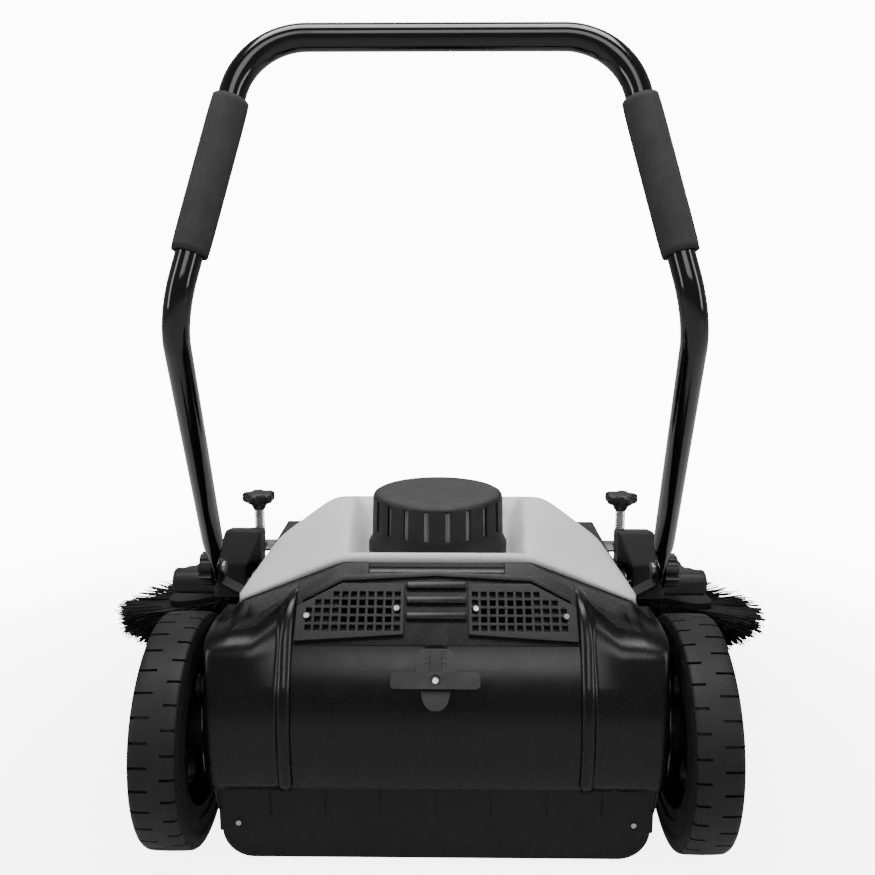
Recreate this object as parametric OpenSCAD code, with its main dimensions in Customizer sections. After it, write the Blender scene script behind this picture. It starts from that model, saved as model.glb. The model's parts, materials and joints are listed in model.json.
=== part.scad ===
// Walk-behind floor sweeper: two drive wheels turn a roller brush and two side brushes.
// Modelled with the wheel axle over y = 0, then moved so that the origin is under the middle of its box.
// Paired pieces are drawn for the right-hand side and mirrored for the left.

/* [Wheels] */
// Diameter of a drive wheel
wheel_d = 260; // [250:1:270]
// Width of the tyre
tyre_w = 51; // [40:1:56]
// Depth of the rubber on the rim
tyre_depth = 34; // [24:1:38]
// Gap between a wheel and the side of the housing
wheel_gap = 21; // [19:0.5:24]
// Diameter of a wheel's stub axle
axle_d = 20; // [16:1:24]

/* [Housing] */
// Width over the rear side walls
body_w = 480; // [470:1:500]
// Thickness of the moulded walls
wall = 4; // [3:0.5:5]
// Radius of the drum cover behind the roller brush
drum_r = 165; // [162:1:170]
// Width of the drum cover between the shoulders
drum_w = 310; // [280:1:340]
// How far the shoulders stand proud of the drum cover
shoulder_step = 3; // [2:0.5:5]
// Height of the drum cover's lower lip
lip_z = 98; // [80:1:110]
// Height of the wall tops, where the hood rests
deck_z = 250; // [246:1:254]
// Front of the hopper bay, ahead of the axle
bay_front = 430; // [424:1:440]
// How far the front bay's sides stand in from the body's
bay_in = 60; // [56:1:68]
// Height of the bay's floor above the ground
bay_floor = 60; // [56:1:70]

/* [Hood] */
// Height of the hood's rear edge
hood_rear_z = 321; // [316:1:326]
// Height of the hood's crest
hood_crest_z = 347; // [342:1:354]
// Half width of the hood's rear edge
hood_rear_half = 105; // [95:1:112]
// Diameter of the filter cap
cap_d = 156; // [150:1:160]
// Height of the filter cap's top
cap_top_z = 380; // [372:1:390]

/* [Handle] */
// Diameter of the handle tube
tube_d = 25; // [22:1:28]
// Diameter of a foam grip
grip_d = 34.5; // [32:0.5:38]
// Height of the top bar's centre line
handle_top_z = 853; // [820:1:900]
// Height of the handle's pivot
pivot_z = 270; // [266:1:276]
// How far the handle's pivots stand outside the walls
pivot_out = 39; // [37:0.5:44]

/* [Roller brush] */
// Diameter of the roller brush over its bristles
roller_d = 220; // [200:1:222]
// Gap between the roller brush and its cradle arms
roller_gap = 6.5; // [4:0.5:16]
// Distance of the roller ahead of the wheel axle
roller_ahead = 60; // [58:1:64]

/* [Side brushes] */
// How far the side brush spindles stand outside the walls
brush_out = 110; // [104:1:116]
// Distance of the spindles ahead of the axle
brush_ahead = 385; // [380:1:392]
// Length of the longest bristles
bristle_len = 81; // [60:1:84]
// Outward lean of a side brush
brush_roll = 12; // [8:1:14]
// Forward lean of a side brush
brush_pitch = 6; // [3:1:8]
// Bristle tufts around a side brush
tufts_round = 30; // [24:1:34]
// Rings of bristle tufts on a side brush
tuft_rings = 6; // [5:1:7]

/* [Hidden] */
$fn = 64;

// Fits shared by many pieces
run_fit = 0.05;
slip = 0.3;
cut = 1;
coarse = 32;

// Wheel stations across the machine
wheel_r = wheel_d / 2;
rim_r = wheel_r - tyre_depth;
axle_r = axle_d / 2;
wall_out = body_w / 2;
wall_in = wall_out - wall;
wheel_in = wall_out + wheel_gap;
wheel_out = wheel_in + tyre_w;
pivot_half = wall_out + pivot_out;
brush_half = wall_out + brush_out;
bay_half = wall_out - bay_in;
tread_edge_share = 0.16;
tread_drop_share = 0.18;
rim_barrel = 12;
rim_inset = 2;
web_t = 8;
hub_r = 26;
web_hole_r = 15;
web_hole_count = 6;
axle_nut_r = 17;
axle_nut_t = 10;

// Belts and their pulleys
belt_w = 10;
belt_t = 4;
flange_t = 1.5;
groove_lip = 2;
side_pulley_r = 40;
cross_pulley_r = 16;
belt_plane = wall_out + wheel_gap / 2;
roller_pulley_r = 36;
shaft_pulley_r = 18;
inner_belt_plane = wall_in - belt_w;

// Bushes of the wheel axles
bush_wall = 5;
bush_r = axle_r + bush_wall;
bush_flange_r = bush_r + bush_wall;
bush_flange_t = 3;

// Drum cover and shoulders, centred on one line
drum_y = 85;
drum_z = 150;
shoulder_r = drum_r + shoulder_step;
shoulder_over = 8;
rib_w = 14;
rib_out = 4;
drum_top_z = deck_z;
wall_low_z = 25;
rear_wall_front = 222;
bulkhead_t = 6;
cheek_h = 40;

// Upper rear panel
panel_top_y = 20;
panel_foot_y = -46;
panel_foot_z = deck_z + slip;
panel_top_z = hood_rear_z - slip;
panel_run = panel_top_y - panel_foot_y;
panel_rise = panel_top_z - panel_foot_z;
panel_len = norm([panel_run, panel_rise]);
panel_lean = atan2(panel_rise, panel_run);
panel_foot_in = 40;
panel_foot_half = wall_in - panel_foot_in;
tip_in = 6;
tip_half = wall_in - tip_in;
tip_y = 50;
tip_rise = 12;
tip_z = deck_z + tip_rise;
brow_w = 6;
brow_t = 4;
brow_gap = 3;
recess_half = 76;
recess_len = 13;

// Grilles, as places on the panel in shares of its length
grille_in = 35;
grille_out = 152;
grille_slant = 104;
grille_t = 5;
grille_low_share = -0.39;
grille_out_low_share = -0.47;
grille_top_share = 0.22;
grille_out_top_share = -0.06;
mesh_pitch = 9.6;
mesh_hole = 6.4;
mesh_edge = 4;
window_edge = 14;
louvre_gap = 2;
louvre_half = grille_in - louvre_gap;
louvre_h = 7;
louvre_t = 5;
louvre_shares = [0.2, 0.02, -0.17];
screw_r = 3;
screw_t = 2;
grille_screw_shares = [[0.07, -0.09], [0.9, -0.18]];

// Rubber skirt
skirt_half = wall_in - wall;
skirt_low = 12;
skirt_t = 4;
skirt_y = -66.6;
skirt_lap = 18;
skirt_top = lip_z + skirt_lap;
skirt_corner = 34;
skirt_groove_w = 2;
skirt_groove_d = 1.2;
skirt_groove_len = 34;
skirt_groove_count = 7;
skirt_groove_share = 0.77;
skirt_groove_half = skirt_groove_share * skirt_half;
skirt_screw_in = 18;
skirt_screw_x = skirt_half - skirt_screw_in;
skirt_screw_z = 54;
skirt_tab_w = 34;
skirt_tab_h = 26;

// Brush height handle on the drum cover
slot_angle = 61;
boss_top_r = 22;
boss_low_r = 14;
boss_up = 4;
boss_down = 29;
notch_w = 4;
notch_reach = 5;
notch_shares = [0.1, 0.26, 0.42];
boss_out = 4;
boss_in = 8;
stem_w = 12.4;
stem_len = 10;
height_travel = 27;
slot_len = height_travel + stem_len + 2 * slip;
slot_w = stem_w + 2 * slip;
stem_rest = -slot_len / 2 + slip + stem_len / 2;
bar_w = 92;
bar_h = 17;
bar_corner = 4;
bar_t = 16;
bar_gap = 12;
keeper_w = 34;
keeper_len = 16;
keeper_t = 3;
tongue_len = 24;
tongue_t = 2;
recess_r = 6;
recess_d = 5;

// Hopper bay and hopper
bay_back = 190;
hopper_wall = 3;
hopper_gap = 5;
hopper_back_gap = 6;
hopper_back = bay_back + hopper_back_gap;
hopper_lip_z = 150;
hopper_drop = 8;
hopper_top_z = deck_z - hopper_drop;
lug_r = 7;
hinge_reach = 10;
hinge_y = bay_front + hinge_reach;
hinge_z = deck_z - hinge_reach;
hinge_pin_r = 4;
lug_x = 60;
lug_w = 16;
lug_gap = 1;

// Hood
hood_t = 4;
hood_seat = 1;
hood_front_y = bay_front + hood_t;
hood_base_z = deck_z + hood_seat;
hood_crest_y = 215;
hood_brow_y = 380;
hood_brow_drop = 45;
hood_nose_drop = 85;
hood_gap = 2;
rim_h = 10;
rim_lean = 4;
crest_in = 96;
crest_half = wall_in - crest_in;
nose_in = 111;
nose_half = wall_in - nose_in;
hip_in = 22;
hip_share = 0.38;
brow_hip_share = 0.15;
hood_open_back = 14;
channel_gap = 2.2;
channel_lean = 0.59;
well_y = 115;
well_floor_z = 306;
well_hole_share = 0.72;
cap_wall = 3;
cap_collar = 6;
cap_collar_h = 12;
cap_taper = 1.5;
cap_edge = 3;
cap_window_count = 20;
cap_window_w = 6;
cap_window_low = 32;
cap_window_h = 37;
filter_share = 0.84;
filter_drop = 8;

// Handle route
tube_r = tube_d / 2;
pivot_y = 141;
bend_in = 48;
bend_half = pivot_half - bend_in;
bend_y = -152;
bend_share = 0.573;
bend_z = pivot_z + bend_share * (handle_top_z - pivot_z);
corner_in = 60;
corner_half = bend_half - corner_in;
corner_y = -75;
bend_r = 70;
corner_r = 68;
tube_wall = 2;
tube_sides = 16;
arc_steps = 7;
tube_ref = unit([0, 10, 3]);
end_len = 34;
end_t = 6;
end_r = 15;
grip_low_share = 0.12;
grip_high_share = 0.96;
bolt_r = 5;
bolt_head_r = 10;
bolt_head_t = 3;
clamp_r = 22;
clamp_t = 16;
clamp_bore = 14;
clamp_flutes = 8;
clamp_flute_r = 5;

// Handle brackets: bent steel straps
strap_t = 4;
strap_w = 26;
strap_low = 186;
strap_bend = 234;
strap_bend_top = 252;
strap_bolt_z = [198, 222];
strap_bolt_r = 4;
strap_plate_x = pivot_half - end_t / 2 - strap_t - slip;

// Roller brush cradle
roller_drop = 12;
roller_y = roller_ahead;
roller_z = wheel_r - roller_drop;
roller_r = roller_d / 2;
roller_shaft_r = 8;
roller_core_r = 40;
cradle_t = 6;
cradle_gap = 3;
cradle_x = inner_belt_plane - belt_w / 2 - flange_t - cradle_gap - cradle_t;
roller_len = 2 * (cradle_x - roller_gap);
cradle_w = 40;
cradle_tip = 17;
bar_y = -32;
bar_z = 216;
bar_r = 8;
fork_w = 9;
fork_gap = 26;
fork_len = 7;
fork_h = 8;

// Side brush arm
cross_y = 250;
cross_z = 215;
cross_r = 6;
lay_r = 4;
gear_r = 11;
gear_t = 7;
gear_tip_share = 0.55;
gear_room = 2;
arm_drop = 10.5;
arm_len = (brush_ahead - cross_y) / cos(arm_drop);
arm_gap = 3;
arm_in = wall_out + wheel_gap + arm_gap;
arm_wide = 44;
arm_back = -22;
arm_front = 100;
arm_half_h = 20;
case_wall = 5;
case_half = gear_r + gear_room + case_wall;
case_foot = 4;
case_low = -case_half - case_foot;
case_skirt = 2;
beam_half = 11;
tail_gap = 6;
tail_in = wall_out + tail_gap;
tail_back = 44;
hump_base = 26;
hump_foot = 24;
hump_front = 36;
hump_top = 72;
hump_taper = 12;
spindle_r = 6;
disc_r = 74;
disc_t = 10;
disc_drop = 32;
disc_cap_r = 26;
disc_cap_t = 2;
backing_t = 4;
backing_in = 28;
tuft_tip = 3;
tuft_low_angle = 10;
tuft_high_angle = 86;
tuft_short_share = 0.84;

// Side brush height screw
screw_out = 22;
screw_x = wall_out + screw_out;
screw_y = 322;
screw_rod_r = 5;
shelf_drop = 8;
shelf_z = deck_z - shelf_drop;
shelf_t = 4;
shelf_in = 40;
shelf_out = 22;
shelf_depth = 44;
screw_low_z = 176;
screw_top_z = 300;
knob_r = 24;
knob_t = 13;
knob_hub_r = 9;
knob_hub_t = 10;
knob_lobes = 5;
knob_lobe_r = 8;
screw_slot_len = 42;
screw_slot_gap = 4;
screw_slot_w = 2 * screw_rod_r + screw_slot_gap;

// Front support rollers
support_r = 26;
support_w = 30;
support_y = 330;
support_half = 120;
support_axle_r = 5;
support_ear_t = 4;
support_ear_w = 24;

// Middle of the machine's length, from the handle's bend to the side brush's front
reach_front_trim = 10;
reach_back_trim = 8.21;
reach_front = brush_ahead + disc_r + bristle_len - reach_front_trim;
reach_back = bend_y - tube_r + reach_back_trim;
mid_y = (reach_front + reach_back) / 2;

// Frames, paths and links

module placed() translate([0, -mid_y, 0]) children();

module sided(s) {
    if (s < 0) mirror([1, 0, 0]) children();
    else children();
}

module both_sides() {
    children();
    mirror([1, 0, 0]) children();
}

// A flat shape drawn in y and z, made solid from x over a width
module yz(x, width) translate([x, 0, 0]) rotate([90, 0, 90]) linear_extrude(width) children();

// A shape drawn about z, laid along x from a place in y and z
module along_x(x, y, z) translate([x, y, z]) rotate([0, 90, 0]) children();

module rod_x(x0, x1, y, z, r) along_x(x0, y, z) cylinder(h = x1 - x0, r = r);

module block(low, high) translate(low) cube(high - low);

module rod_between(a, b, r) {
    d = b - a;
    translate(a) rotate([0, acos(d.z / norm(d)), atan2(d.y, d.x)]) cylinder(h = norm(d), r = r);
}

function polar(r, a) = [r * cos(a), r * sin(a)];

// The outline of a belt or a link round two circles
function wrap(a, ra, b, rb) = let(
    d = b - a,
    lean = acos((ra - rb) / norm(d)),
    turn = atan2(d.y, d.x),
    n = coarse)
    concat([for (i = [0:n]) b + polar(rb, turn - lean + 2 * lean * i / n)],
        [for (i = [0:n]) a + polar(ra, turn + lean + (360 - 2 * lean) * i / n)]);

module belt(x, a, ra, b, rb) {
    yz(x - belt_w / 2, belt_w) difference() {
        polygon(wrap(a, ra + slip + belt_t, b, rb + slip + belt_t));
        polygon(wrap(a, ra + slip, b, rb + slip));
    }
}

// A pulley with two flanges, centred on x = 0 along z
module pulley_blank(r) {
    half = belt_w / 2 + slip;
    translate([0, 0, -half]) cylinder(h = 2 * half, r = r);
    for (e = [-1, 1]) translate([0, 0, e * (half + flange_t / 2)])
        cylinder(h = flange_t, r = r + groove_lip, center = true);
}

module pulley(r, bore) {
    reach = belt_w / 2 + slip + flange_t + cut;
    difference() {
        pulley_blank(r);
        translate([0, 0, -reach]) cylinder(h = 2 * reach, r = bore);
    }
}

function unit(v) = v / norm(v);

// Points of an arc that rounds the corner b between a and c
function corner_arc(a, b, c, r, n) = let(
    u = unit(a - b),
    v = unit(c - b),
    half = acos(u * v) / 2,
    middle = b + unit(u + v) * r / sin(half),
    first = b + u * r / tan(half),
    out = unit(first - middle),
    turn = acos(-u * v))
    [for (i = [0:n]) middle + r * (out * cos(turn * i / n) - u * sin(turn * i / n))];

// A tube along points, its sides kept in step by one reference direction
module tube_along(points, r, sides, ref) {
    last = len(points) - 1;
    rings = [for (i = [0:last]) let(
        t = unit(points[min(i + 1, last)] - points[max(i - 1, 0)]),
        n = unit(ref - (ref * t) * t),
        b = cross(t, n))
        for (k = [0:sides - 1]) points[i] + r * (n * cos(k * 360 / sides) + b * sin(k * 360 / sides))];
    walls = [for (i = [0:last - 1]) for (k = [0:sides - 1]) let(
        p = i * sides + k,
        q = i * sides + (k + 1) % sides)
        each [[p, p + sides, q], [q, p + sides, q + sides]]];
    ends = [[for (k = [0:sides - 1]) k], [for (k = [sides - 1:-1:0]) last * sides + k]];
    polyhedron(rings, concat(walls, ends));
}

// Housing

module drum_band(r, low, high, thick = wall) {
    intersection() {
        translate([drum_y, drum_z]) difference() {
            circle(r, $fn = 128);
            circle(r - thick, $fn = 128);
        }
        translate([drum_y - r - cut, low]) square([r, high - low]);
    }
}

module side_wall(s) {
    front = rear_wall_front - bulkhead_t;
    back = drum_y - shoulder_r;
    high = deck_z - wall_low_z;
    color("#141414") sided(s) difference() {
        union() {
            yz(wall_in, wall) intersection() {
                union() {
                    translate([drum_y, drum_z]) circle(shoulder_r - wall, $fn = 128);
                    translate([drum_y, wall_low_z]) square([front - drum_y, high]);
                }
                translate([back, wall_low_z]) square([front - back, high]);
            }
            block([wall_in - skirt_tab_w, skirt_y + skirt_t, skirt_screw_z - skirt_tab_h / 2],
                [wall_in, skirt_y + 2 * skirt_t, skirt_screw_z + skirt_tab_h / 2]);
        }
        rod_x(wall_in - cut, wall_out + cut, 0, wheel_r, bush_r);
    }
}

module rear_drum_cover() {
    color("#101010") difference() {
        union() {
            yz(-drum_w / 2, drum_w) drum_band(drum_r, lip_z, drum_top_z);
            at_slot() translate([0, 0, -boss_in]) linear_extrude(boss_in + boss_out)
                polygon(wrap([0, boss_up], boss_top_r, [0, -boss_down], boss_low_r));
        }
        at_slot() {
            block([-slot_w / 2, -slot_len / 2, -boss_in - cut], [slot_w / 2, slot_len / 2, boss_out + cut]);
            for (share = notch_shares) translate([0, share * slot_len, boss_out])
                cube([slot_w + 2 * notch_reach, notch_w, boss_out], center = true);
        }
        block([-boss_top_r - cut, drum_y - 2 * drum_r, drum_top_z],
            [boss_top_r + cut, drum_y, drum_z + drum_r]);
    }
}

// A shoulder's skin passes over the wall's edge, with a rounded rib beside the drum cover
module shoulder(s) {
    low = drum_w / 2;
    color("#121212") sided(s) union() {
        yz(low, wall_out + shoulder_over - low) drum_band(shoulder_r, lip_z, drum_top_z);
        yz(low, rib_w) drum_band(shoulder_r + rib_out, lip_z, drum_top_z, wall + rib_out);
    }
}

// The panel's own frame: x across, y up the slope, z out of its face
module at_panel() {
    translate([0, (panel_top_y + panel_foot_y) / 2, (panel_top_z + panel_foot_z) / 2])
        rotate([panel_lean, 0, 0]) children();
}

// The panel's three facets as one body, moved and widened for its inside
module panel_form(move, wide) {
    right = [[hood_rear_half, panel_top_y, panel_top_z], [tip_half, tip_y, tip_z],
        [wall_out + shoulder_over / 2, panel_foot_y, panel_foot_z],
        [panel_foot_half, panel_foot_y, panel_foot_z]];
    points = [for (p = right) for (e = [-1, 1]) [e * (p.x + wide), p.y, p.z] + move];
    hull() polyhedron(points, [for (i = [0:len(points) - 3]) [i, i + 1, i + 2]]);
}

// Half of the arched brow above the grilles, from its middle outwards
function brow_line(rise) = [[0, grille_top_share * panel_len + brow_w + rise],
    [grille_slant, grille_top_share * panel_len + rise],
    [grille_out - brow_w, grille_top_at(grille_out - brow_w) + rise]];

module brow() {
    low = brow_line(brow_gap);
    high = brow_line(brow_gap + brow_w);
    translate([0, 0, -wall / 2]) linear_extrude(brow_t + wall / 2) both_sides()
        polygon(concat(low, [for (i = [len(high) - 1:-1:0]) high[i]]));
}

module vent_panel() {
    half_len = panel_len / 2;
    low = grille_low_share * panel_len + window_edge;
    color("#111111") difference() {
        union() {
            difference() {
                panel_form([0, 0, 0], 0);
                panel_form(wall * [0, sin(panel_lean), -cos(panel_lean)], cut);
            }
            at_panel() brow();
        }
        at_panel() both_sides() block([grille_in + window_edge, low, -wall - cut],
            [grille_slant, grille_top_share * panel_len - window_edge, cut]);
        at_panel() block([-recess_half, half_len - recess_len, -wall - cut],
            [recess_half, half_len + cut, cut]);
    }
}

function grille_outline() = panel_len * [[0, grille_low_share], [0, grille_out_low_share],
    [0, grille_out_top_share], [0, grille_top_share], [0, grille_top_share]]
    + [[grille_in, 0], [grille_out, 0], [grille_out, 0], [grille_slant, 0], [grille_in, 0]];

// Highest place on a grille at a distance across it
function grille_top_at(x) = let(fall = (x - grille_slant) / (grille_out - grille_slant))
    panel_len * (grille_top_share + max(0, fall) * (grille_out_top_share - grille_top_share));

module grille(s) {
    clear = mesh_edge + mesh_hole / 2;
    low = grille_low_share * panel_len;
    color("#1b1b1b") sided(s) at_panel() linear_extrude(grille_t) difference() {
        polygon(grille_outline());
        for (x = [grille_in + clear:mesh_pitch:grille_out - clear])
            for (y = [low + clear:mesh_pitch:panel_len / 2])
                if (y < grille_top_at(x + mesh_hole / 2) - clear)
                    translate([x - mesh_hole / 2, y - mesh_hole / 2]) square(mesh_hole);
    }
}

module vent_louvres() {
    color("#161616") at_panel() for (share = louvre_shares)
        translate([-louvre_half, share * panel_len - louvre_h / 2, 0])
            cube([2 * louvre_half, louvre_h, louvre_t]);
}

module screw_head() cylinder(h = screw_t, r = screw_r);

module housing_screws() {
    span = grille_out - grille_in;
    color("#c9c9c9") both_sides() {
        at_panel() for (share = grille_screw_shares)
            translate([grille_in + share.x * span, share.y * panel_len, grille_t]) screw_head();
        translate([skirt_screw_x, skirt_y, skirt_screw_z]) rotate([90, 0, 0]) screw_head();
    }
}

module rear_skirt() {
    corner = [skirt_half - skirt_corner, skirt_low + skirt_corner];
    color("#1c1c1c") difference() {
        translate([0, skirt_y + skirt_t, 0]) rotate([90, 0, 0]) linear_extrude(skirt_t) union() {
            translate([-skirt_half, corner.y]) square([2 * skirt_half, skirt_top - corner.y]);
            translate([-corner.x, skirt_low]) square([2 * corner.x, skirt_corner]);
            for (e = [-1, 1]) translate([e * corner.x, corner.y]) circle(skirt_corner);
        }
        for (i = [0:skirt_groove_count - 1]) {
            x = skirt_groove_half * (2 * i / (skirt_groove_count - 1) - 1);
            block([x - skirt_groove_w / 2, skirt_y - cut, lip_z - skirt_groove_len],
                [x + skirt_groove_w / 2, skirt_y + skirt_groove_d, lip_z]);
        }
    }
}

// Hopper bay, hopper and front support

module front_bay() {
    half = bay_half;
    back = rear_wall_front;
    color("#151515") difference() {
        union() {
            block([-half, bay_back, bay_floor], [half, bay_front, bay_floor + wall]);
            block([-half, bay_front - wall, bay_floor], [half, bay_front, deck_z]);
            both_sides() {
                block([half - wall, back - bulkhead_t, bay_floor], [half, bay_front, deck_z]);
                block([half - wall, back - bulkhead_t, bay_floor], [wall_out, back, deck_z]);
                block([half - wall, back - bulkhead_t, deck_z - wall], [wall_out, bay_front, deck_z]);
                block([wall_in, back - bulkhead_t, cross_z - cheek_h / 2],
                    [wall_out, cross_y + cheek_h / 2, cross_z + cheek_h / 2]);
                for (x = [lug_x, lug_x + lug_w + lug_w]) {
                    block([x, bay_front - wall, hinge_z - lug_r],
                        [x + lug_w - lug_gap, hinge_y, hinge_z + lug_r]);
                    rod_x(x, x + lug_w - lug_gap, hinge_y, hinge_z, lug_r);
                }
            }
        }
        both_sides() {
            rod_x(half - 2 * wall, wall_out + cut, cross_y, cross_z, cross_r + run_fit);
            rod_x(lug_x - cut, lug_x + 3 * lug_w + cut, hinge_y, hinge_z, hinge_pin_r);
        }
    }
}

module hood_hinge_pins() {
    color("#9a9a9a") both_sides() rod_x(lug_x, lug_x + 3 * lug_w - lug_gap, hinge_y, hinge_z, hinge_pin_r);
}

module hopper() {
    half = bay_half - wall - hopper_gap;
    front = bay_front - wall - hopper_gap;
    low = bay_floor + wall;
    inner = half - hopper_wall;
    color("#2a2a2a") difference() {
        block([-half, hopper_back, low], [half, front, hopper_top_z]);
        block([-inner, hopper_back + hopper_wall, low + hopper_wall],
            [inner, front - hopper_wall, hopper_top_z + cut]);
        block([-inner, hopper_back - cut, hopper_lip_z],
            [inner, hopper_back + hopper_wall + cut, hopper_top_z + cut]);
    }
}

module roller_brackets() {
    color("#8d8d8d") both_sides() for (e = [0, 1]) {
        x = support_half + e * (support_w + support_ear_t + 2 * slip) - support_ear_t - slip;
        difference() {
            union() {
                block([x, support_y - support_ear_w / 2, support_r],
                    [x + support_ear_t, support_y + support_ear_w / 2, bay_floor]);
                rod_x(x, x + support_ear_t, support_y, support_r, support_ear_w / 2);
            }
            rod_x(x - cut, x + support_ear_t + cut, support_y, support_r, support_axle_r + run_fit);
        }
    }
}

module front_rollers() {
    end = support_half + support_w + support_ear_t + slip;
    color("#202020") union() {
        rod_x(-end, end, support_y, support_r, support_axle_r);
        both_sides() rod_x(support_half, support_half + support_w, support_y, support_r, support_r);
    }
}

// Wheels

module axle_frame() translate([0, 0, wheel_r]) rotate([0, 90, 0]) children();

module tyre(s) {
    edge = tread_edge_share * tyre_w;
    drop = tread_drop_share * tyre_depth;
    color("#1d1d1d") sided(s) axle_frame() rotate_extrude($fn = 128)
        polygon([[rim_r, wheel_in], [wheel_r - drop, wheel_in], [wheel_r, wheel_in + edge],
            [wheel_r, wheel_out - edge], [wheel_r - drop, wheel_out], [rim_r, wheel_out]]);
}

module rim(s) {
    web = (wheel_in + wheel_out - web_t) / 2;
    barrel = rim_r - rim_barrel;
    color("#262626") sided(s) difference() {
        union() {
            axle_frame() rotate_extrude($fn = 128)
                polygon([[axle_r, wheel_in - cut], [hub_r, wheel_in - cut], [hub_r, web], [barrel, web],
                    [barrel, wheel_in + rim_inset], [rim_r, wheel_in + rim_inset],
                    [rim_r, wheel_out - rim_inset],
                    [barrel, wheel_out - rim_inset], [barrel, web + web_t], [hub_r, web + web_t],
                    [hub_r, wheel_out], [axle_r, wheel_out]]);
            along_x(belt_plane, 0, wheel_r) pulley(side_pulley_r, axle_r);
            axle_frame() translate([0, 0, belt_plane + belt_w / 2]) difference() {
                cylinder(h = wheel_in - belt_plane - belt_w / 2, r = hub_r);
                translate([0, 0, -cut]) cylinder(h = wheel_gap, r = axle_r);
            }
        }
        for (i = [0:web_hole_count - 1])
            axle_frame() rotate(i * 360 / web_hole_count) translate([(hub_r + barrel) / 2, 0, web - cut])
                cylinder(h = web_t + 2 * cut, r = web_hole_r);
    }
}

module axle(s) {
    color("#b0b0b0") sided(s) union() {
        rod_x(cradle_x - 2 * slip, wheel_out + axle_nut_t + wall, 0, wheel_r, axle_r);
        along_x(wheel_out, 0, wheel_r) cylinder(h = axle_nut_t, r = axle_nut_r, $fn = 6);
    }
}

module roller_pulley(s) {
    color("#303030") sided(s) along_x(inner_belt_plane, 0, wheel_r) pulley(roller_pulley_r, axle_r);
}

module axle_bushes() {
    color("#c2b280") both_sides() difference() {
        union() {
            rod_x(wall_in, wall_out, 0, wheel_r, bush_r);
            rod_x(wall_out, wall_out + bush_flange_t, 0, wheel_r, bush_flange_r);
        }
        rod_x(wall_in - cut, wall_out + bush_flange_t + cut, 0, wheel_r, axle_r + run_fit);
    }
}

// Roller brush and the cradle that sets its height

module cradle_arm(s) {
    hub = [0, wheel_r];
    color("#3a3a3a") sided(s) yz(cradle_x, cradle_t) difference() {
        union() {
            polygon(wrap(hub, cradle_w / 2, [roller_y, roller_z], cradle_tip));
            polygon(wrap(hub, cradle_tip, [bar_y, bar_z], 2 * bar_r));
        }
        translate(hub) circle(axle_r + run_fit);
        translate([roller_y, roller_z]) circle(roller_shaft_r + run_fit);
    }
}

module cradle_bar() {
    reach = [bar_y, bar_z];
    color("#3a3a3a") union() {
        rod_x(-cradle_x, cradle_x, bar_y, bar_z, bar_r);
        both_sides() block([fork_gap / 2, reach.x - bar_r - fork_len, reach.y - fork_h / 2],
            [fork_gap / 2 + fork_w, reach.x, reach.y + fork_h / 2]);
    }
}

module roller_belts() {
    color("#0d0d0d") both_sides()
        belt(inner_belt_plane, [0, wheel_r], roller_pulley_r, [roller_y, roller_z], shaft_pulley_r);
}

module roller_shaft() {
    end = inner_belt_plane + belt_w / 2 + flange_t + slip;
    color("#a8a8a8") union() {
        rod_x(-end, end, roller_y, roller_z, roller_shaft_r);
        both_sides() along_x(inner_belt_plane, roller_y, roller_z) pulley_blank(shaft_pulley_r);
    }
}

module roller_tube(outer, inner, length) {
    difference() {
        rod_x(-length / 2, length / 2, roller_y, roller_z, outer);
        rod_x(-length / 2 - cut, length / 2 + cut, roller_y, roller_z, inner);
    }
}

module roller_core() color("#5a5a5a") roller_tube(roller_core_r, roller_shaft_r, roller_len);

module roller_bristles() color("#101010") roller_tube(roller_r, roller_core_r, roller_len);

// Brush height handle, in the slot's own frame: y up the cover, z out of it
module at_slot() translate([0, drum_y, drum_z]) rotate([slot_angle, 0, 0])
    translate([0, 0, drum_r]) children();

module height_handle() {
    front = boss_out + bar_gap;
    keep = -boss_in - slip;
    over = boss_out + slip;
    color("#171717") at_slot() translate([0, stem_rest, 0]) difference() {
        union() {
            block([-stem_w / 2, -stem_len / 2, keep - keeper_t], [stem_w / 2, stem_len / 2, front]);
            block([-keeper_w / 2, -keeper_len / 2, keep - keeper_t], [keeper_w / 2, keeper_len / 2, keep]);
            block([-stem_w / 2, 0, over], [stem_w / 2, bar_h / 2 + tongue_len, over + tongue_t]);
            translate([0, 0, front]) linear_extrude(bar_t) offset(bar_corner)
                square([bar_w - 2 * bar_corner, bar_h - 2 * bar_corner], center = true);
        }
        translate([0, 0, front + bar_t - recess_d]) cylinder(h = recess_d + cut, r = recess_r);
    }
}

module height_handle_screw() {
    color("#b5b5b5") at_slot() translate([0, stem_rest, boss_out + bar_gap + bar_t - recess_d])
        cylinder(h = recess_d / 2, r = screw_r);
}

// Handle

function handle_side(s, from) = let(
    pivot = [s * pivot_half, pivot_y, pivot_z],
    bend = [s * bend_half, bend_y, bend_z],
    corner = [s * corner_half, corner_y, handle_top_z],
    across = [0, corner_y, handle_top_z],
    start = pivot + unit(bend - pivot) * from)
    concat([start], corner_arc(pivot, bend, corner, bend_r, arc_steps),
        corner_arc(bend, corner, across, corner_r, arc_steps));

function handle_path(from) = let(left = handle_side(-1, from))
    concat(handle_side(1, from), [for (i = [len(left) - 1:-1:0]) left[i]]);

module handle_end(s) {
    rise = [bend_y - pivot_y, bend_z - pivot_z];
    foot = [pivot_y, pivot_z];
    yz(s * pivot_half - end_t / 2, end_t) difference() {
        polygon(wrap(foot, end_r, foot + unit(rise) * (end_len + tube_r), tube_r));
        translate(foot) circle(bolt_r + run_fit);
    }
}

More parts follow.
